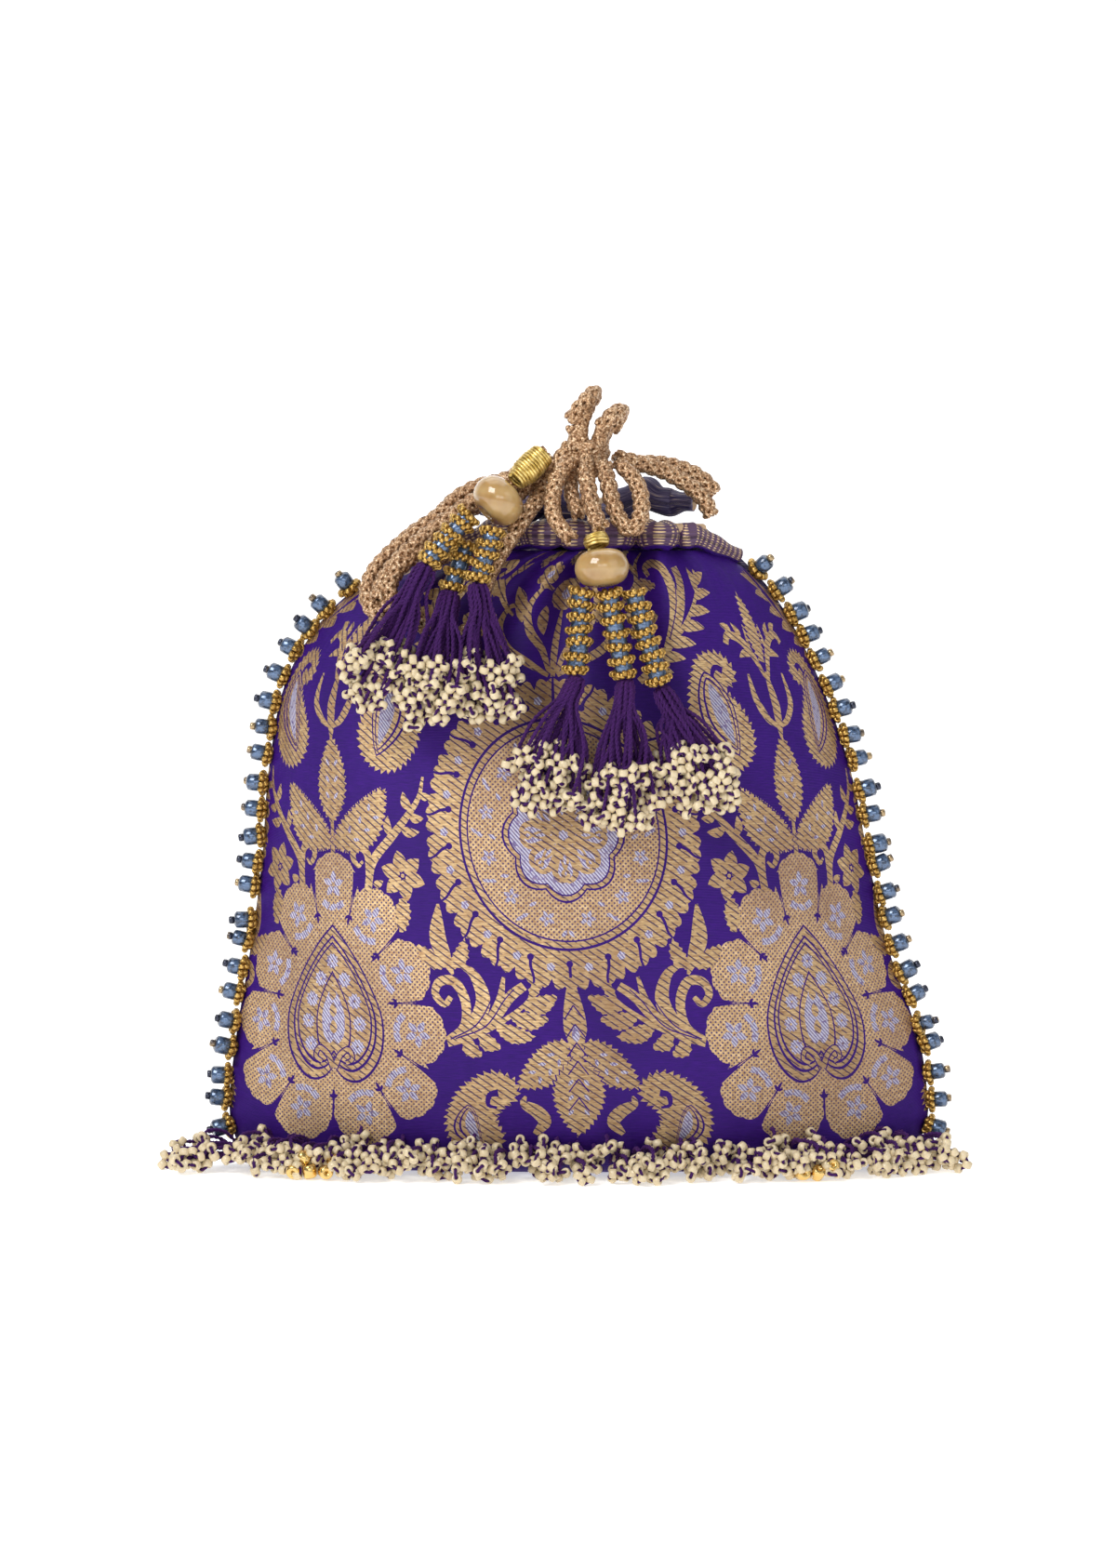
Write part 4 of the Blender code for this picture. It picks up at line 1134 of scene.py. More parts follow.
def lining_finish():
    shader, cloth, u, v = weave_shader("cloth_reverse", Specular_IOR_Level=0.4)
    bars = shader.wave(u * 0.35 + v, 1.3)
    float_a = shader.noise(shader.stretch(cloth, (0.12, 1.6, 1)), 1.0, 2.0, 0.7)
    colour = shader.mix(shader.ramp(float_a, 0.42, 0.6), (0.03, 0.02, 0.09), (0.13, 0.11, 0.21))
    colour = shader.mix(shader.ramp(float_a, 0.58, 0.68) * bars, colour, (0.62, 0.48, 0.36))
    shader.bump(float_a + bars * 0.4, 0.0002, 0.8)
    return shader.set(Base_Color=colour, Roughness=0.5 + 0.1 * bars)


CLOTH_FINISHES = [silk_finish(), zari_finish(), net_finish(), silver_finish(), lining_finish()]


# %% [markdown]
# ## The two panels
#
# Each panel is one closed body: the patterned face, and behind it the plain reverse of the cloth, joined
# round the rim.

# %% Making a panel
def sheet_rim(flat, top):
    """Numbers of the points on the rim of the flat cloth, in order round it."""
    u, v = flat[:, 0], flat[:, 1]
    near = 1e-4
    lower = np.where(np.abs(v) < near)[0]
    right = np.where((np.abs(u - HALF_CLOTH) < near) & (v > near) & (v < top - near))[0]
    upper = np.where(np.abs(v - top) < near)[0]
    left = np.where((np.abs(u + HALF_CLOTH) < near) & (v > near) & (v < top - near))[0]
    return np.concatenate([lower[np.argsort(u[lower])], right[np.argsort(v[right])],
                           upper[np.argsort(-u[upper])], left[np.argsort(-v[left])]])


def inner_sheet(flat, rim, top):
    """A plain sheet with the same rim points: flat points and triangles."""
    spacing = 5.0
    us = np.arange(-HALF_CLOTH + spacing, HALF_CLOTH - spacing / 2, spacing)
    vs = np.arange(spacing, top - spacing / 2, spacing)
    grid = np.stack(np.meshgrid(us, vs), axis=2).reshape(-1, 2)
    points = np.vstack([flat[rim], grid])
    n = len(rim)
    edges = [(k, (k + 1) % n) for k in range(n)]
    result = delaunay_2d_cdt([Vector(p) for p in points.tolist()], edges, [], 0, 1e-5, False)
    return np.array([tuple(p) for p in result[0]]), np.array(result[2])


def make_panel(name, node, side):
    top = (FRONT_ROWS if side < 0 else BACK_ROWS)[-1, 0]
    flat, triangles, weave = cut_cloth(top)
    outer = cloth_point(flat[:, 0], flat[:, 1], side)
    rim = sheet_rim(flat, top)
    plain, plain_triangles = inner_sheet(flat, rim, top)
    inner = cloth_point(plain[:, 0], plain[:, 1], side, WALL)
    count = len(flat)
    out = triangles if side < 0 else triangles[:, ::-1]
    back = plain_triangles + count
    back = back[:, ::-1] if side < 0 else back
    n = len(rim)
    walls = [(rim[(k + 1) % n], rim[k], count + k, count + (k + 1) % n) for k in range(n)]
    if side > 0:
        walls = [face[::-1] for face in walls]
    faces = out.tolist() + back.tolist() + walls
    kinds = np.concatenate([weave, np.full(len(back) + n, REVERSE)])
    cloth = np.vstack([flat, plain])
    uvs = np.stack([cloth[:, 0] / CLOTH_MAP[0] + 0.5, cloth[:, 1] / CLOTH_MAP[1]], axis=1)
    panel = plain_piece(name, np.vstack([outer, inner]), faces, CLOTH_FINISHES, kinds, uvs=uvs)
    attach(panel, "bag")
    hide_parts(node)
    print(f"{name}: {len(faces)} faces")
    return panel


front_panel = make_panel("front_brocade", "front_panel", -1)
back_panel = make_panel("back_brocade", "back_panel", 1)

# %% [markdown]
# ## The gathered hems
#
# The drawstring runs in a casing, a hem folded over and stitched. Pulled tight, the casing crowds into
# little upright gathers. It is a tube whose section swells and pinches along the hem. On the front casing a
# narrow band low on its outer side is the brocade's silk, and the rest is the ribbed gold facing that shows
# where the mouth rolls open. The back casing is the plain reverse of the cloth all round.

# %% Casings
def facing_finish():
    shader, cloth, u, v = weave_shader("ribbed_facing", Specular_IOR_Level=0.6)
    rib = shader.wave(u, 0.95)
    pick = shader.wave(v, 1.3)
    spot = shader.ramp(rib * pick, 0.35, 0.6)
    colour = shader.mix(spot, (0.085, 0.035, 0.10), (0.78, 0.56, 0.31))
    colour = shader.mix(shader.ramp(shader.noise(cloth, 0.6), 0.5, 0.7) * 0.5, colour, (0.16, 0.10, 0.10))
    shader.bump(rib + pick * 0.6, 0.0003, 0.8)
    return shader.set(Base_Color=colour, Metallic=0.4 * spot, Roughness=0.5 - 0.1 * rib)


FACING = facing_finish()
CASING_WALL = 1.3


def unit(vector):
    return vector / np.maximum(np.linalg.norm(vector, axis=-1, keepdims=True), 1e-9)


def hem_line(side, ends):
    """The hem's middle line along the top of a panel."""
    rows = FRONT_ROWS if side < 0 else BACK_ROWS
    across = np.linspace(-ends, ends, 61)
    top = cloth_point(across * HALF_CLOTH, np.full(61, rows[-1, 0]), side)
    return top + (0, -0.8 * side, 6.1)


def gathered_casing(name, node, line, half, gathers, materials):
    """A crowded tube of cloth on a line. half is its half width and height along the way."""
    ahead = unit(np.gradient(line, axis=0))
    out = unit(np.cross(ahead, (0, 0, 1)))
    up = np.cross(out, ahead)
    reach = np.concatenate([[0], np.cumsum(np.linalg.norm(np.diff(line, axis=0), axis=1))])
    sides, count = 28, len(line)
    points, uvs = [], []
    for shrink in (0.0, CASING_WALL):
        for i, point in enumerate(line):
            t = reach[i] / reach[-1]
            taper = 0.5 + 0.5 * min(1, t / 0.16, (1 - t) / 0.2)
            pinch = math.sin(2 * math.pi * gathers * t + 1.6 * math.sin(9 * t))
            for k in range(sides):
                a = 2 * math.pi * k / sides
                ripple = 0 if shrink else 0.42 * pinch + 0.2 * math.sin(3 * a + 40 * t)
                r = taper * (1 + 0.22 * ripple)
                points.append(point + out[i] * math.cos(a) * (half[0] * r - shrink)
                              + up[i] * math.sin(a) * (half[1] * r - shrink))
                uvs.append((t * 0.32 + 0.3, k / sides * 0.15 + 0.8))
    faces, kinds = [], []
    for k in range(sides):
        n = (k + 1) % sides
        brocade = 0.74 < (k + 0.5) / sides < 0.86
        for i in range(count - 1):
            for layer in (0, count):
                a = (layer + i) * sides
                quad = (a + k, a + n, a + sides + n, a + sides + k)
                faces.append(quad if layer else quad[::-1])
                kinds.append(0 if brocade and not layer else 1)
        for i in (0, count - 1):
            outer, inner = i * sides, (count + i) * sides
            quad = (outer + k, outer + n, inner + n, inner + k)
            faces.append(quad if i else quad[::-1])
            kinds.append(1)
    casing = plain_piece(name, points, faces, materials, kinds, uvs=uvs)
    turn_outwards(casing)
    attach(casing, "bag")
    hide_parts(node)
    print(name, len(faces), "faces")


def turn_outwards(piece):
    shape = bmesh.new()
    shape.from_mesh(piece.data)
    bmesh.ops.recalc_face_normals(shape, faces=shape.faces)
    shape.to_mesh(piece.data)
    shape.free()


front_hem = hem_line(-1, 0.70)
front_hem = np.vstack([[(-50, -1.2, 180.5), (-44, -1.8, 186)], front_hem,
                       [(48, -1.8, 186.6), (54, -1.2, 181), (58.5, -0.9, 175)]])
back_hem = hem_line(1, 0.80)
front_hem[:, 2] -= 1.3 + 1.2 * np.clip((front_hem[:, 0] - 22) / 20, 0, 1)
for at, wide, rise in ((19.0, 5.0, 3.0), (33, 5.0, 0.8), (7, 7.0, -6.0)):
    back_hem[:, 2] += rise * np.exp(-(((back_hem[:, 0] - at) / wide) ** 2))
front_hem, back_hem = curve_through(front_hem[::3], 0.8), curve_through(back_hem[::4], 0.8)
gathered_casing("front_casing_gathers", "casing_front", front_hem, (3.7, 4.3), 15,
                [CLOTH_FINISHES[SILK], FACING])
gathered_casing("back_casing_gathers", "casing_back", back_hem, (4.2, 5.4), 11,
                [CLOTH_FINISHES[REVERSE]] * 2)

# %% [markdown]
# ## The tree that strings beads
#
# There are well over two thousand beads here, so none is placed by hand. Each run of beads is first a mesh
# of loose points that carry two facts, the direction of the hole and a size. The tree puts a bead on each
# point, turns its hole to that direction and joins the lot. A real seed bead is a short tube with rounded
# ends, so that is what is instanced, with few faces, because it repeats so often.

# %% The bead tree
def make_bead_tree():
    tree = Tree("beads_on_points", [("Bead", "Object"), ("Material", "Material")])
    info = tree.add("GeometryNodeObjectInfo", inputs={"Object": tree.input("Bead")}, output=4)
    for index, socket in enumerate(info.node.outputs):
        if socket.name == "Geometry":
            info = socket
    aim = tree.add("GeometryNodeInputNamedAttribute", {"data_type": "FLOAT_VECTOR"}, {"Name": "aim"})
    size = tree.add("GeometryNodeInputNamedAttribute", {"data_type": "FLOAT"}, {"Name": "size"})
    turn = tree.add("FunctionNodeAlignRotationToVector", {"axis": "Z"}, {"Vector": aim})
    dots = tree.add("GeometryNodeMeshToPoints", inputs={"Mesh": tree.input("Geometry")})
    placed = tree.add("GeometryNodeInstanceOnPoints", inputs={
        "Points": dots, "Instance": info, "Rotation": turn, "Scale": size})
    return tree.finish(placed, tree.input("Material"))


BEAD_TREE = make_bead_tree()


def turned_mesh(name, profile, sides):
    """A turned object round Z from (radius, height) pairs that go round its section, closed on itself."""
    points = [(r * math.cos(a), r * math.sin(a), z) for r, z in profile
              for a in (2 * math.pi * k / sides for k in range(sides))]
    count = len(profile)
    faces = [(i * sides + k, i * sides + (k + 1) % sides, (i + 1) % count * sides + (k + 1) % sides,
              (i + 1) % count * sides + k) for i in range(count) for k in range(sides)]
    return plain_piece(name, points, faces, [])


def bead_mould(name, radius, half, hole, sides=10):
    profile = ((hole, -half * 0.7), (hole, half * 0.7), (radius * 0.72, half), (radius * 0.97, half * 0.72),
               (radius, 0), (radius * 0.97, -half * 0.72), (radius * 0.72, -half))
    mould = turned_mesh(name, profile[::-1], sides)
    turn_outwards(mould)
    return mould


def string_beads(name, mould, places, aims, sizes, material):
    mesh = bpy.data.meshes.new(name + "_points")
    mesh.from_pydata((np.asarray(places) * MM).tolist(), [], [])
    for label, kind, key, values in (
            ("aim", "FLOAT_VECTOR", "vector", aims), ("size", "FLOAT", "value", sizes)):
        layer = mesh.attributes.new(label, kind, "POINT")
        layer.data.foreach_set(key, np.asarray(values, dtype=np.float32).ravel())
    worker = bpy.data.objects.new(name + "_points", mesh)
    bpy.context.collection.objects.link(worker)
    return run_tree(worker, BEAD_TREE, name, {"Bead": mould, "Material": material})


SEED = bead_mould("seed_mould", 1.55, 1.15, 0.55)
SMALL_SEED = bead_mould("small_seed_mould", 1.0, 0.72, 0.3, 8)
ROUND_BEAD = bead_mould("round_mould", 2.45, 2.1, 0.5, 14)
GHUNGROO = bead_mould("metal_ball_mould", 2.1, 2.05, 0.3, 16)
LOOP_SECTION = [(1.9 + 0.5 * math.cos(a), 0.5 * math.sin(a)) for a in np.linspace(0, 5.03, 5)]
LOOP = turned_mesh("thread_loop_mould", LOOP_SECTION, 10)
MOULDS = (SEED, SMALL_SEED, ROUND_BEAD, GHUNGROO, LOOP)


# %% [markdown]
# ## Glass, metal and thread
#
# The cream beads are opaque glass with a soft gloss. The gold seeds are glass with a metal coat that is
# thin in places. The blue beads are clear glass over a silver lining; its reflection is painted into their
# colour with a Layer Weight mix, bright at the middle and nearly black where they turn away. The thread is
# dull cotton.

# %% Bead and thread materials
def cream_finish():
    shader = Shader("cream_glass", Roughness=0.3, Coat_Weight=0.25, Coat_Roughness=0.15,
                    Subsurface_Weight=0.12, Subsurface_Radius=(0.002, 0.0015, 0.0008), Subsurface_Scale=0.4)
    place = shader.place()
    tone = shader.ramp(shader.noise(place, 0.3), 0.3, 0.7)
    stain = shader.ramp(shader.noise(place, 1.2, 3.0), 0.55, 0.75)
    colour = shader.mix(tone, (0.62, 0.50, 0.31), (0.76, 0.64, 0.43))
    colour = shader.mix(stain * 0.4, colour, (0.42, 0.30, 0.16))
    shader.bump(shader.noise(place, 1.5), 0.0001, 0.3)
    return shader.set(Base_Color=colour)


def gold_seed_finish():
    shader = Shader("gold_glass", Metallic=0.85)
    place = shader.place()
    worn = shader.noise(place, 0.9, 3.0, 0.6)
    colour = shader.mix(shader.ramp(worn, 0.35, 0.7), (0.34, 0.19, 0.04), (0.74, 0.48, 0.14))
    shader.bump(worn, 0.00008, 0.4)
    return shader.set(Base_Color=colour, Roughness=0.2 + 0.22 * worn)


def blue_finish():
    shader = Shader("blue_glass", Coat_Weight=0.9, Coat_Roughness=0.04, Metallic=0.4)
    place = shader.place()
    # Painted reflection: the Layer Weight mask makes the colour bright where a bead faces the camera and
    # nearly black at its rims, standing in for light off the silver lining.
    facing = shader.node("ShaderNodeLayerWeight", inputs={"Blend": 0.62}, output=1)
    deep = shader.noise(place, 0.9, 3.0, 0.6)
    colour = shader.mix(facing, (0.10, 0.17, 0.31), (0.004, 0.008, 0.025))
    colour = shader.mix(shader.ramp(deep, 0.48, 0.62) * 0.85, colour, (0.010, 0.018, 0.04))
    shader.bump(deep, 0.00015, 0.3)
    return shader.set(Base_Color=colour, Roughness=0.12 + 0.15 * deep)


def bronze_finish():
    shader = Shader("bronze_glass", Metallic=0.8, Coat_Weight=0.5, Coat_Roughness=0.08)
    place = shader.place()
    tone = shader.noise(place, 0.12, 1.0)
    colour = shader.mix(shader.ramp(tone, 0.45, 0.55), (0.03, 0.035, 0.06), (0.42, 0.30, 0.16))
    return shader.set(Base_Color=colour, Roughness=0.18 + 0.1 * shader.noise(place, 2.0))


def thread_finish():
    shader = Shader("purple_cotton", Sheen_Weight=0.2, Sheen_Roughness=0.4, Sheen_Tint=(0.55, 0.2, 0.9, 1),
                    Specular_IOR_Level=0.25)
    place = shader.place()
    fibre = shader.noise(place, 3.0, 3.0, 0.6)
    broad = shader.noise(place, 0.25)
    colour = shader.mix(shader.ramp(fibre, 0.3, 0.7), (0.022, 0.003, 0.048), (0.070, 0.012, 0.135))
    colour = shader.mix(shader.ramp(broad, 0.4, 0.7) * 0.3, colour, (0.03, 0.004, 0.08))
    shader.bump(fibre, 0.0002, 0.8)
    return shader.set(Base_Color=colour, Roughness=0.72 + 0.2 * fibre)


def wound_finish():
    shader = Shader("wound_gold_thread", Metallic=0.8)
    place = shader.place()
    glint = shader.noise(place, 0.5, 2.0, 0.5)
    # Partly painted highlight: where the glint noise is high the colour is brighter; the same noise also
    # lowers the roughness and raises the bump, which are real.
    colour = shader.mix(shader.ramp(glint, 0.38, 0.6), (0.50, 0.33, 0.07), (0.90, 0.70, 0.26))
    shader.bump(glint, 0.0001, 0.4)
    return shader.set(Base_Color=colour, Roughness=0.42 - 0.15 * glint)


def stone_finish():
    shader = Shader("honey_quartz", Roughness=0.14, Coat_Weight=0.6, Coat_Roughness=0.05, IOR=1.54,
                    Subsurface_Weight=0.5, Subsurface_Radius=(0.006, 0.004, 0.002), Subsurface_Scale=1.0)
    place = shader.place()
    z = shader.parts(place)[2]
    cloud = shader.noise(place, 0.14, 3.0, 0.55)
    bands = shader.wave(z + 2.5 * cloud, 5.5)
    colour = shader.mix(shader.ramp(cloud, 0.3, 0.7), (0.33, 0.185, 0.06), (0.52, 0.34, 0.13))
    colour = shader.mix(bands * 0.35, colour, (0.60, 0.44, 0.22))
    shader.bump(cloud, 0.0001, 0.2)
    return shader.set(Base_Color=colour)


CREAM, GOLD, BLUE, BRONZE = cream_finish(), gold_seed_finish(), blue_finish(), bronze_finish()
THREAD, WOUND, STONE = thread_finish(), wound_finish(), stone_finish()


def bead_rings(centres, axes, radius, seeds, draw):
    """Places and hole directions of rings of seeds, and a small random unevenness."""
    places, aims = [], []
    for number, (centre, axis) in enumerate(zip(centres, unit(np.asarray(axes, dtype=float)))):
        side = unit(np.cross(axis, (0.31, 0.9, 0.17)))
        other = np.cross(axis, side)
        for k in range(seeds):
            a = 2 * math.pi * (k + 0.5 * (number % 2)) / seeds
            r = radius * (1 + draw.normal(0, 0.03))
            around = side * r * math.cos(a) + other * r * math.sin(a)
            places.append(centre + around + axis * draw.normal(0, 0.12))
            aims.append(-side * math.sin(a) + other * math.cos(a) + axis * draw.normal(0, 0.12))
    return places, aims


# %% [markdown]
# ## The side edging
#
# The edging is sewn on bead by bead. A stitch picks up a ring of gold seeds that sits flat against the
# seam, a blue bead on top of it, and one small bead that stops the thread. The stitches are not quite
# even, and some lean, so every picot gets its own small error from a seeded draw.

# %% Picots along both seams
EDGING_PITCH = 8.1


def picots(name, node, side_sign, top, seed):
    draw = np.random.default_rng(seed)
    along = np.arange(3.0, top, 0.5)
    rows = read_rows(BACK_ROWS, along)
    x, z = (rows[4], rows[5]) if side_sign > 0 else (rows[2], rows[3])
    line = np.stack([x, np.zeros_like(x), z], axis=1)
    reach = np.concatenate([[0], np.cumsum(np.linalg.norm(np.diff(line, axis=0), axis=1))])
    stops = np.arange(EDGING_PITCH * 0.4, reach[-1], EDGING_PITCH)
    stops = stops + draw.normal(0, 0.6, len(stops))
    points = np.stack([np.interp(stops, reach, line[:, k]) for k in range(3)], axis=1)
    ahead = unit(np.stack([np.interp(stops, reach, g) for g in np.gradient(line, axis=0).T], axis=1))
    out = unit(np.cross((0, side_sign, 0), ahead))
    down = np.maximum(out[:, 2], -np.maximum(points[:, 2] - 1.6, 0) / 9.5)
    out = unit(np.stack([side_sign * np.sqrt(1 - down**2), draw.normal(0, 0.16, len(out)),
                         down + draw.normal(0, 0.10, len(out))], axis=1))
    points[:, 2] = np.maximum(points[:, 2], 4.9)
    rings, ring_aims = bead_rings(points + out * 1.2, out, 3.1, 11, draw)
    inner, inner_aims = bead_rings(points + out * 0.2, out, 1.9, 7, draw)
    parts = (
        string_beads(name + "_gold_rings", SMALL_SEED, rings + inner, ring_aims + inner_aims,
                     np.full(len(rings + inner), 0.98), GOLD),
        string_beads(name + "_blue_beads", ROUND_BEAD, points + out * 3.8, out,
                     1.08 + draw.normal(0, 0.05, len(points)), BLUE),
        string_beads(name + "_tips", SMALL_SEED, points + out * 6.6 + draw.normal(0, 0.18, points.shape), out,
                     np.full(len(points), 1.2), BRONZE))
    for piece, slot in zip(parts, ("gold_seed_beads", "blue_beads", "blue_beads")):
        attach(piece, "bag")
    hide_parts(node)
    print(name, len(points), "picots")


picots("left_edging", "bead_edging_left", -1, 197, 11)
picots("right_edging", "bead_edging_right", 1, 206, 12)


# %% [markdown]
# ## Tassels
#
# A tassel is built downwards in the order it is strung: a neck wound with gold thread round the cord ends,
# a honey stone bead, strands on which rings of gold seeds alternate with blue beads, a skirt of twisted
# threads from each strand, and on every thread's end a clover of cream seed beads. The clovers crowd one
# another, so their places are first drawn at random and then pushed apart until they only touch.

# %% Building one tassel
def push_apart(points, gap, rounds=40, keep=0.0, floor=None, stretch=(1, 1, 1)):
    """Move points that are closer than gap away from each other."""
    points = np.array(points, dtype=float)
    start = points.copy()
    for _ in range(rounds):
        delta = points[:, None, :] - points[None, :, :]
        distance = np.linalg.norm(delta, axis=2) + np.eye(len(points)) * 99
        push = np.clip(gap - distance, 0, None) / 2
        step = (delta / distance[:, :, None] * push[:, :, None]).sum(axis=1)
        points += np.clip(step, -0.5, 0.5) * stretch + (start - points) * keep
        if floor is not None:
            points[:, 2] = np.maximum(points[:, 2], floor)
    return points


def wound_neck(name, start, end, radii, thread=0.55):
    """Thread wound from the middle of the top outwards and down to the end, as one piece."""
    start, end = np.asarray(start, dtype=float), np.asarray(end, dtype=float)
    length = float(np.linalg.norm(end - start))
    axis = unit(end - start)
    side = unit(np.cross(axis, (0, 1, 0)))
    front = np.cross(side, axis)
    turns = length / (thread * 1.7)
    down = np.linspace(0, 1, round(turns * 18))
    barrel = np.interp(down, np.linspace(0, 1, len(radii)), radii)
    t = np.concatenate([np.zeros(50), down])
    r = np.concatenate([np.linspace(0.3, radii[0], 50), barrel])
    a = 2 * math.pi * np.concatenate([np.linspace(-3, -0.06, 50), turns * down])
    helix = (start + axis * (length * t)[:, None] + side * (r * np.cos(a))[:, None]
             + front * (r * np.sin(a))[:, None])
    return yarns(name, [helix], WOUND, 1, 0.0, 5.0, thread, 0.6, 0.0, 5)


def stone(name, centre, axis, radius, half, hole=1.2):
    """A flattened bead with a hole, its hole along axis."""
    profile = [(hole, -half * 0.8), (hole, half * 0.8)]
    for a in np.linspace(0.12, math.pi - 0.12, 26):
        profile.append((hole + (radius - hole) * math.sin(a) ** 0.75,
                        half * math.cos(a) * (1.0 - 0.1 * math.sin(a) ** 8)))
    mould = turned_mesh(name, profile, 48)
    turn = Vector(axis).to_track_quat("Z", "Y").to_matrix().to_4x4()
    turn.translation = Vector(centre) * MM
    mould.data.transform(turn)
    mould.data.materials.append(STONE)
    turn_outwards(mould)
    return mould


def strand(top, foot, draw):
    """Ring seeds and blue beads of one strand."""
    top, foot = np.asarray(top, dtype=float), np.asarray(foot, dtype=float)
    top = top + (top - foot) * (0.8 / np.linalg.norm(foot - top))
    length = float(np.linalg.norm(foot - top))
    axis = unit(foot - top)
    count = max(4, round(length / 3.5))
    ts = (np.arange(count) + 0.15) / (count - 0.55)
    wobble = draw.normal(0, 0.16, (count, 3))
    centres = top + (foot - top) * ts[:, None] + wobble
    tilts = axis + draw.normal(0, 0.09, (count, 3))
    rings = bead_rings(centres - axis * 0.3, tilts, 3.3, 11, draw)
    inner = bead_rings(centres + axis * 0.5, tilts, 2.6, 9, draw)
    blue = centres[:-1] + axis * (0.5 * length / (count - 0.55))
    return rings[0] + inner[0], rings[1] + inner[1], list(blue), [axis] * (count - 1)


def thread_lines(head, down, goals, draw):
    """Paths from a domed bundle at the skirt's head to each thread's end."""
    head = np.asarray(head, dtype=float)
    side = unit(np.cross(down, (0, 1, 0)))
    front = np.cross(side, down)
    lines = []
    for goal in goals:
        a, r = draw.uniform(0, 2 * math.pi), math.sqrt(draw.uniform(0.08, 1))
        lean = float(np.dot(goal - head, side)) / 14
        spot = side * (0.6 * r * math.cos(a) + 0.5 * np.clip(lean, -1, 1)) + front * r * math.sin(a) * 0.8
        reach = float(np.linalg.norm(goal - head))
        bow = side * draw.normal(0, 0.035 * reach) - front * abs(draw.normal(0.6, 0.5))
        lines.append(curve_through([
            head + spot * 2.8 - down * (1.0 - 1.3 * r * r), head + spot * 4.1 + down * 2.4,
            head + spot * 3.9 + down * 6.2 + (goal - head - down * 6) * 0.06,
            head + spot * 2.4 + (goal - head) * 0.55 + bow, goal], 1.5))
    return lines


def clovers(centres, normals, draw, floor=None):
    """Little rings of three or four beads that close the end of each thread: bead places and hole directions."""
    places, aims = [], []
    for centre, normal in zip(centres, unit(np.asarray(normals, dtype=float))):
        side = unit(np.cross(normal, draw.normal(0, 1, 3)))
        other = np.cross(normal, side)
        per = 4 if draw.random() < 0.45 else 3
        radius = 2.05 if per == 4 else 1.72
        start = draw.uniform(0, 2 * math.pi)
        for k in range(per):
            a = start + 2 * math.pi * k / per
            spot = centre + radius * (side * math.cos(a) + other * math.sin(a)) + draw.normal(0, 0.1, 3)
            if floor is not None:
                spot[2] = max(spot[2], floor)
            places.append(spot)
            aims.append(other * math.cos(a) - side * math.sin(a) + draw.normal(0, 0.12, 3))
    return np.array(places), unit(np.array(aims))


def dress(pieces, body, replaced):
    for (piece, slot), nodes in zip(pieces, replaced):
        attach(piece, body)
        if nodes:
            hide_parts(*nodes)


def tassel(letter, stone_place, stone_axis, strands, skirts, clusters, threads_each, seed):
    """Everything below the neck, all on the tassel's own body. Skirts are head and hem, clusters are
    centre, width and height."""
    draw = np.random.default_rng(seed)
    name = f"tassel_{letter}_"
    body = f"tassel_{letter}"
    bead = stone(name + "honey_stone", stone_place, stone_axis, 8.0, 5.5)
    seeds, seed_aims, blues, blue_aims = [], [], [], []
    for top, foot in strands:
        for bag, found in zip((seeds, seed_aims, blues, blue_aims), strand(top, foot, draw)):
            bag += list(found)
    gold = string_beads(name + "gold_rings", SMALL_SEED, seeds, seed_aims, np.full(len(seeds), 0.98), GOLD)
    blue = string_beads(name + "blue_beads", ROUND_BEAD, blues, blue_aims, np.full(len(blues), 1.14), BLUE)
    lines, centres, owners = [], [], []
    for number, (centre, wide, tall) in enumerate(clusters):
        for k in range(threads_each):
            across = (k + 0.5) / threads_each * 2 - 1
            centres.append((
                centre[0] + across * wide / 2 + draw.normal(0, 0.8), centre[1] + draw.normal(0, 2.4),
                centre[2] + draw.uniform(-0.4, 0.48) * tall))
            owners.append(number)
    centres = push_apart(centres, 4.5, 60, 0.03, stretch=(1, 0.7, 1))
    for centre, number in zip(centres, owners):
        head, hem = np.array(skirts[number])
        lines += thread_lines(head, unit(hem - head), [centre], draw)
    skirt = yarns(name + "threads_twisted", lines, THREAD, 2, 0.33, 3.0, 0.4, 0.8, 0.0, 5)
    facing = np.array((0.0, -1.0, 0.15)) + draw.normal(0, 0.55, (len(centres), 3))
    places, aims = clovers(centres, facing, draw)
    sizes = 0.92 + draw.normal(0, 0.05, len(places))
    cream = string_beads(name + "cream_beads", SEED, places, aims, sizes, CREAM)
    loops = string_beads(name + "bead_threads", LOOP, centres, facing, np.full(len(centres), 1.0), THREAD)
    numbers = range(1, len(strands) + 1)
    dress(((bead, "honey_stone"), (gold, "gold_seed_beads"), (blue, "blue_beads"), (skirt, "purple_thread"),
           (cream, "cream_seed_beads"), (loops, "purple_thread")), body,
          ((name + "stone_bead",), tuple(f"{name}strand_{k}" for k in numbers), (),
           tuple(f"{name}threads_{k}" for k in numbers), tuple(f"{name}seed_beads_{k}" for k in numbers), ()))
    print(name, len(places), "cream beads,", len(lines), "threads")


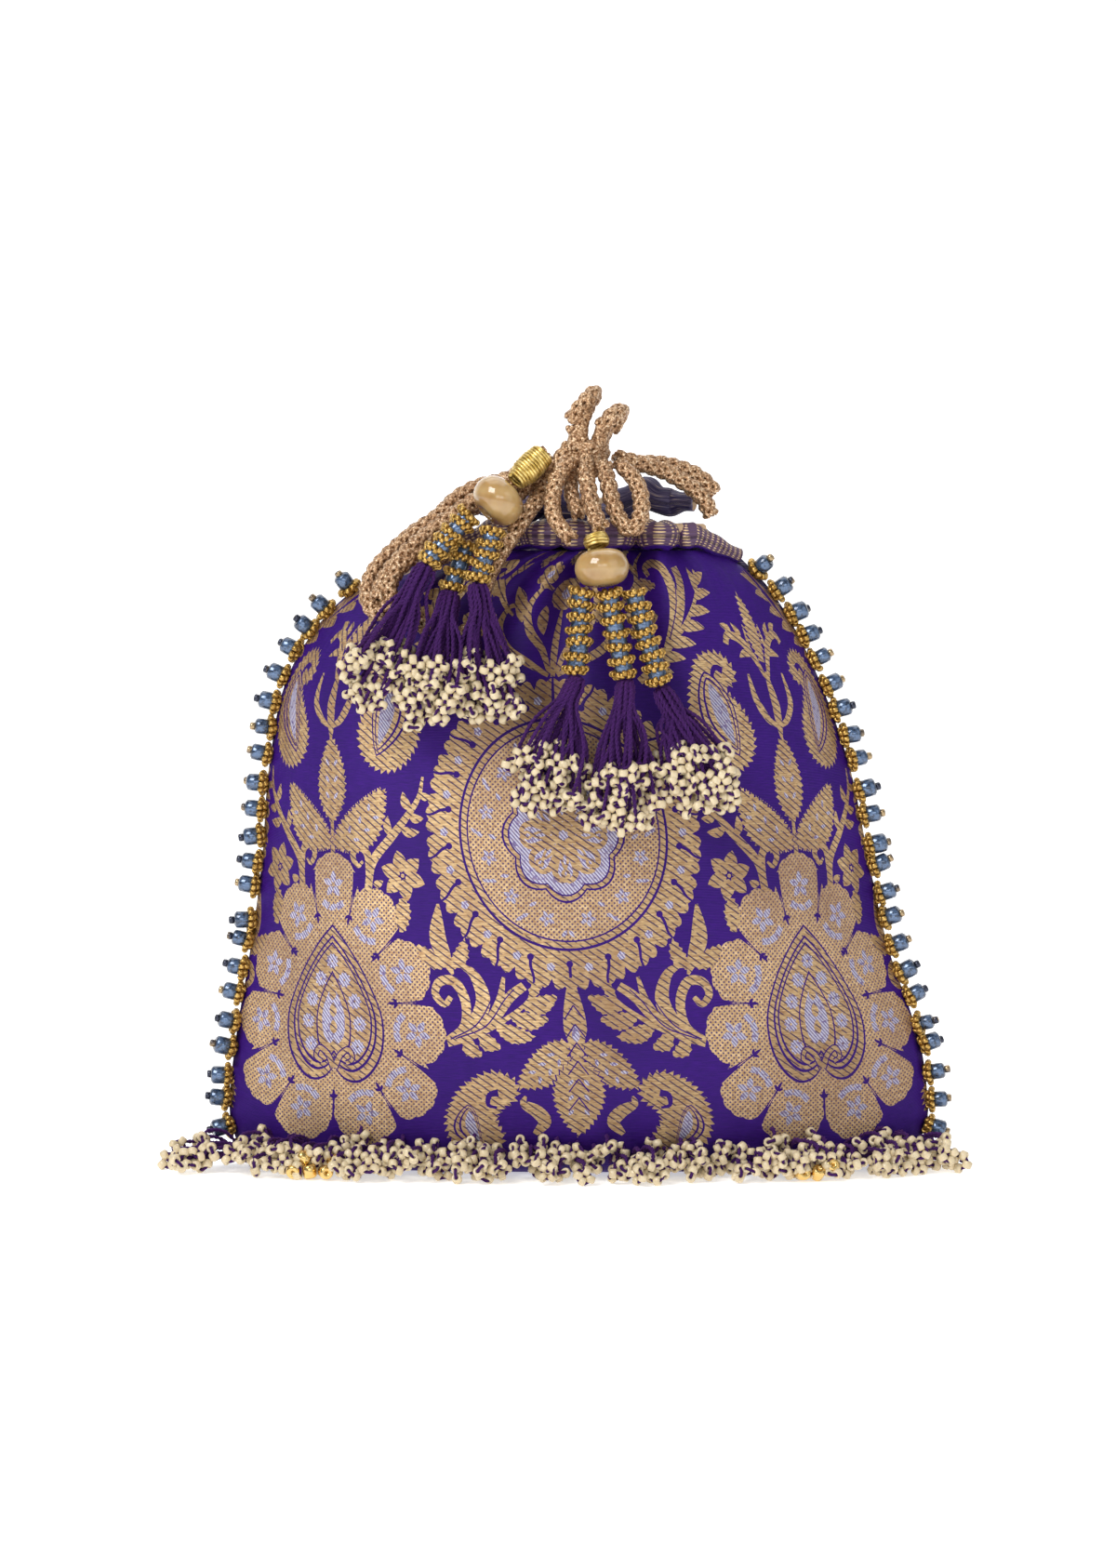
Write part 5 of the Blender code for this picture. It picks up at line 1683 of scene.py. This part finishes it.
tassel(
    "a", (-23.8, -28, 200.9), (-10, -3.8, -9.6),
    (((-32.8, -31.6, 196.6), (-44.6, -33.9, 182.4)), ((-25.4, -33.4, 191.6), (-29.6, -36.2, 177.4)),
     ((-33.4, -27.4, 187.6), (-37.6, -30.4, 174.6))),
    (((-45.1, -34.0, 181.8), (-56.6, -35.2, 159.8)), ((-29.9, -36.4, 176.4), (-26.6, -38.4, 157.6)),
     ((-37.9, -31.0, 173.6), (-41.8, -39.8, 157.2))),
    (((-58.8, -36.6, 149.4), 19, 19), ((-26.6, -38.4, 146.4), 15, 18), ((-43.0, -39.0, 144.2), 15, 20)),
    30, 21)
tassel(
    "b", (6.6, -37.4, 181.4), (1.2, -1.4, -12),
    (((0.8, -39.6, 174.4), (-1.0, -41, 150.6)), ((8.4, -40.8, 173.8), (13.2, -41.2, 149.4)),
     ((16.0, -39.2, 173.6), (23.6, -40.2, 147.4))),
    (((-1.2, -41.1, 149.6), (-9.8, -43.2, 133.2)), ((13.5, -41.3, 148.4), (11.7, -44, 128.4)),
     ((24.2, -40.3, 146.2), (33.4, -41.6, 131.4))),
    (((-8.6, -42.4, 119.8), 18, 19), ((12.6, -43.2, 115.6), 19, 20), ((35.4, -41.6, 119.2), 19, 18)), 36, 22)

# %% Wound necks
neck_a = wound_neck("tassel_a_wound_neck", (-10.8, -21.8, 214.4), (-18.7, -25.4, 206.5), (3.2, 3.8, 3.7, 2.5))
neck_b = wound_neck("tassel_b_wound_neck", (4.6, -35.6, 190.6), (5.4, -36.4, 187.6), (3.0, 3.5, 3.0))
dress(((neck_a, "wound_thread"), (neck_b, "wound_thread")), "bag", (("tassel_a_neck",), ()))
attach(neck_b, "tassel_b_neck")
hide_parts("tassel_b_neck")

# %% [markdown]
# ## The knot
#
# The cords cross over the mouth, loop up, and one of them goes round the rest twice and pulls tight. The
# knot is braided like the cords that run into it: two wraps round a core of four short upright lengths.

# %% Wraps and core
KNOT = np.array((2.0, -9.9, 214.7))


def knot_lines():
    lines = []
    wraps = [(math.cos(a) * 5.0, math.sin(a) * 6.2, -3.2 + 6.4 * a / (4 * math.pi) + 0.9 * math.sin(a))
             for a in np.linspace(0, 4 * math.pi, 33)]
    lines.append(KNOT + np.array(wraps))
    for x, y, top_x, top_y in ((-4.0, -3.0, -3.6, -2.4), (-1.6, 3.0, -1.8, 4.6), (3.6, -4.2, 5.2, -3.4),
                               (2.4, 3.4, 6.2, 4.4), (0.2, -7.4, -1.6, -3.6)):
        lines.append(KNOT + np.array(((x * 1.2, y - 3.5, -5.6), (x * 0.6, y * 0.8 - 1.5, -1),
                                      (top_x * 0.8, top_y, 4), (top_x, top_y, 8.2))))
    lines += [np.array(((-3.0, -14.2, 209), (-1.8, -14.0, 216), (0.6, -13.2, 223), (2.4, -12.4, 228.6))),
              np.array(((4.6, -14.8, 209), (4.4, -14.2, 215), (7.0, -13.4, 221.2))),
              np.array(((-8.2, -13.4, 206.5), (-6.2, -13.6, 212), (-2.6, -13.0, 217))),
              np.array(((-2.0, -14.6, 211), (-2.6, -18.6, 206.5), (-1.8, -22.6, 201), (0.2, -25.6, 196.5)))]
    return [curve_through(line, 1.0) for line in lines]


knot = yarns("bow_knot_braid", knot_lines(), CORD_FINISH, 8, CORD_DIAMETER / 2 - YARN, BRAID_PITCH, YARN, 0.8,
             both_ways=1.0)
dress(((knot, "metallic_cord"),), "bag", (("bow_knot",),))

# %% [markdown]
# ## The bottom fringe
#
# The fringe is a row of the same small tassels, sewn into the bottom seam. The bag stands on it, so its
# threads come out from underneath and its beads lie heaped on the ground in front. The beads are dropped
# on a low band, pushed apart, and kept above the ground.

# %% Threads and beads of the fringe
FRINGE_THREADS = 210          # three or four beads end each thread
METAL_BALLS = ((-84.5, -29.5, 2.6), (-79.8, -30.3, 2.6), (-81.6, -27.5, 6.1), (-75.0, -31.7, 2.6),
               (-72.6, -28.5, 4.9), (66.0, -34.1, 2.6), (70.6, -33.1, 2.6), (74.8, -31.5, 4.3))


def fringe():
    draw = np.random.default_rng(31)
    lines, centres = [], []
    spread = np.linspace(-0.98, 0.98, FRINGE_THREADS)
    roots = cloth_point(spread * HALF_CLOTH, np.full(FRINGE_THREADS, 20.0), -1) * (1, 1, 0)
    for across, root in zip(spread, roots):
        fan = math.radians(50 * across * abs(across) ** 0.4 - 9 * (across < -0.8)) + draw.normal(0, 0.2)
        reach = draw.uniform(7, 23) + 6.0 * (across < -0.88)
        centre = root + np.array((math.sin(fan), -math.cos(fan), 0)) * reach
        centre[2] = draw.uniform(2.4, 12.0) * (1.12 - reach / 42)
        centres.append(centre)
    centres = push_apart(centres, 4.4, 60, 0.02, 2.6, (1, 0.8, 1))
    for centre, root in zip(centres, roots):
        rise = max(centre[2], 3.0) + draw.uniform(1.0, 3.6)
        middle = (root + centre) / 2
        lines.append(curve_through([
            root + (0, -0.4, draw.uniform(1.0, 3.6)), middle * (1, 1, 0) + (0, 1.5, rise * 0.9),
            centre * (1, 1, 0) + (0, 1.6, rise), centre], 1.4))
    facing = draw.normal(0, 1, (len(centres), 3)) * 0.75 + (0, -0.8, 0.5)
    places, aims = clovers(centres, facing, draw, 1.5)
    sizes = 0.95 + draw.normal(0, 0.05, len(places))
    cream = string_beads("fringe_cream_beads", SEED, places, aims, sizes, CREAM)
    loops = string_beads("fringe_bead_threads", LOOP, centres, facing, np.full(len(centres), 1.0), THREAD)
    threads = yarns("fringe_threads", lines, THREAD, 2, 0.33, 3.0, 0.4, 0.9, 0.0, 5)
    ball_aims = draw.normal(0, 1, (len(METAL_BALLS), 3))
    balls = string_beads("fringe_metal_balls", GHUNGROO, METAL_BALLS, ball_aims, np.ones(len(METAL_BALLS)),
                         polished_finish())
    dress(((cream, "cream_seed_beads"), (loops, "purple_thread"), (threads, "purple_thread"),
           (balls, "gold_seed_beads")), "bag",
          (tuple(f"fringe_tassel_{k}" for k in range(1, 10)), (), (), ()))
    print("fringe:", len(places), "beads on", len(lines), "threads")


def polished_finish():
    shader = Shader("polished_gold", Metallic=1.0)
    place = shader.place()
    return shader.set(Base_Color=shader.mix(shader.noise(place, 0.5), (0.72, 0.46, 0.14), (0.88, 0.66, 0.28)),
                      Roughness=0.18 + 0.08 * shader.noise(place, 1.0))


fringe()
for mould in MOULDS:
    bpy.data.objects.remove(mould)
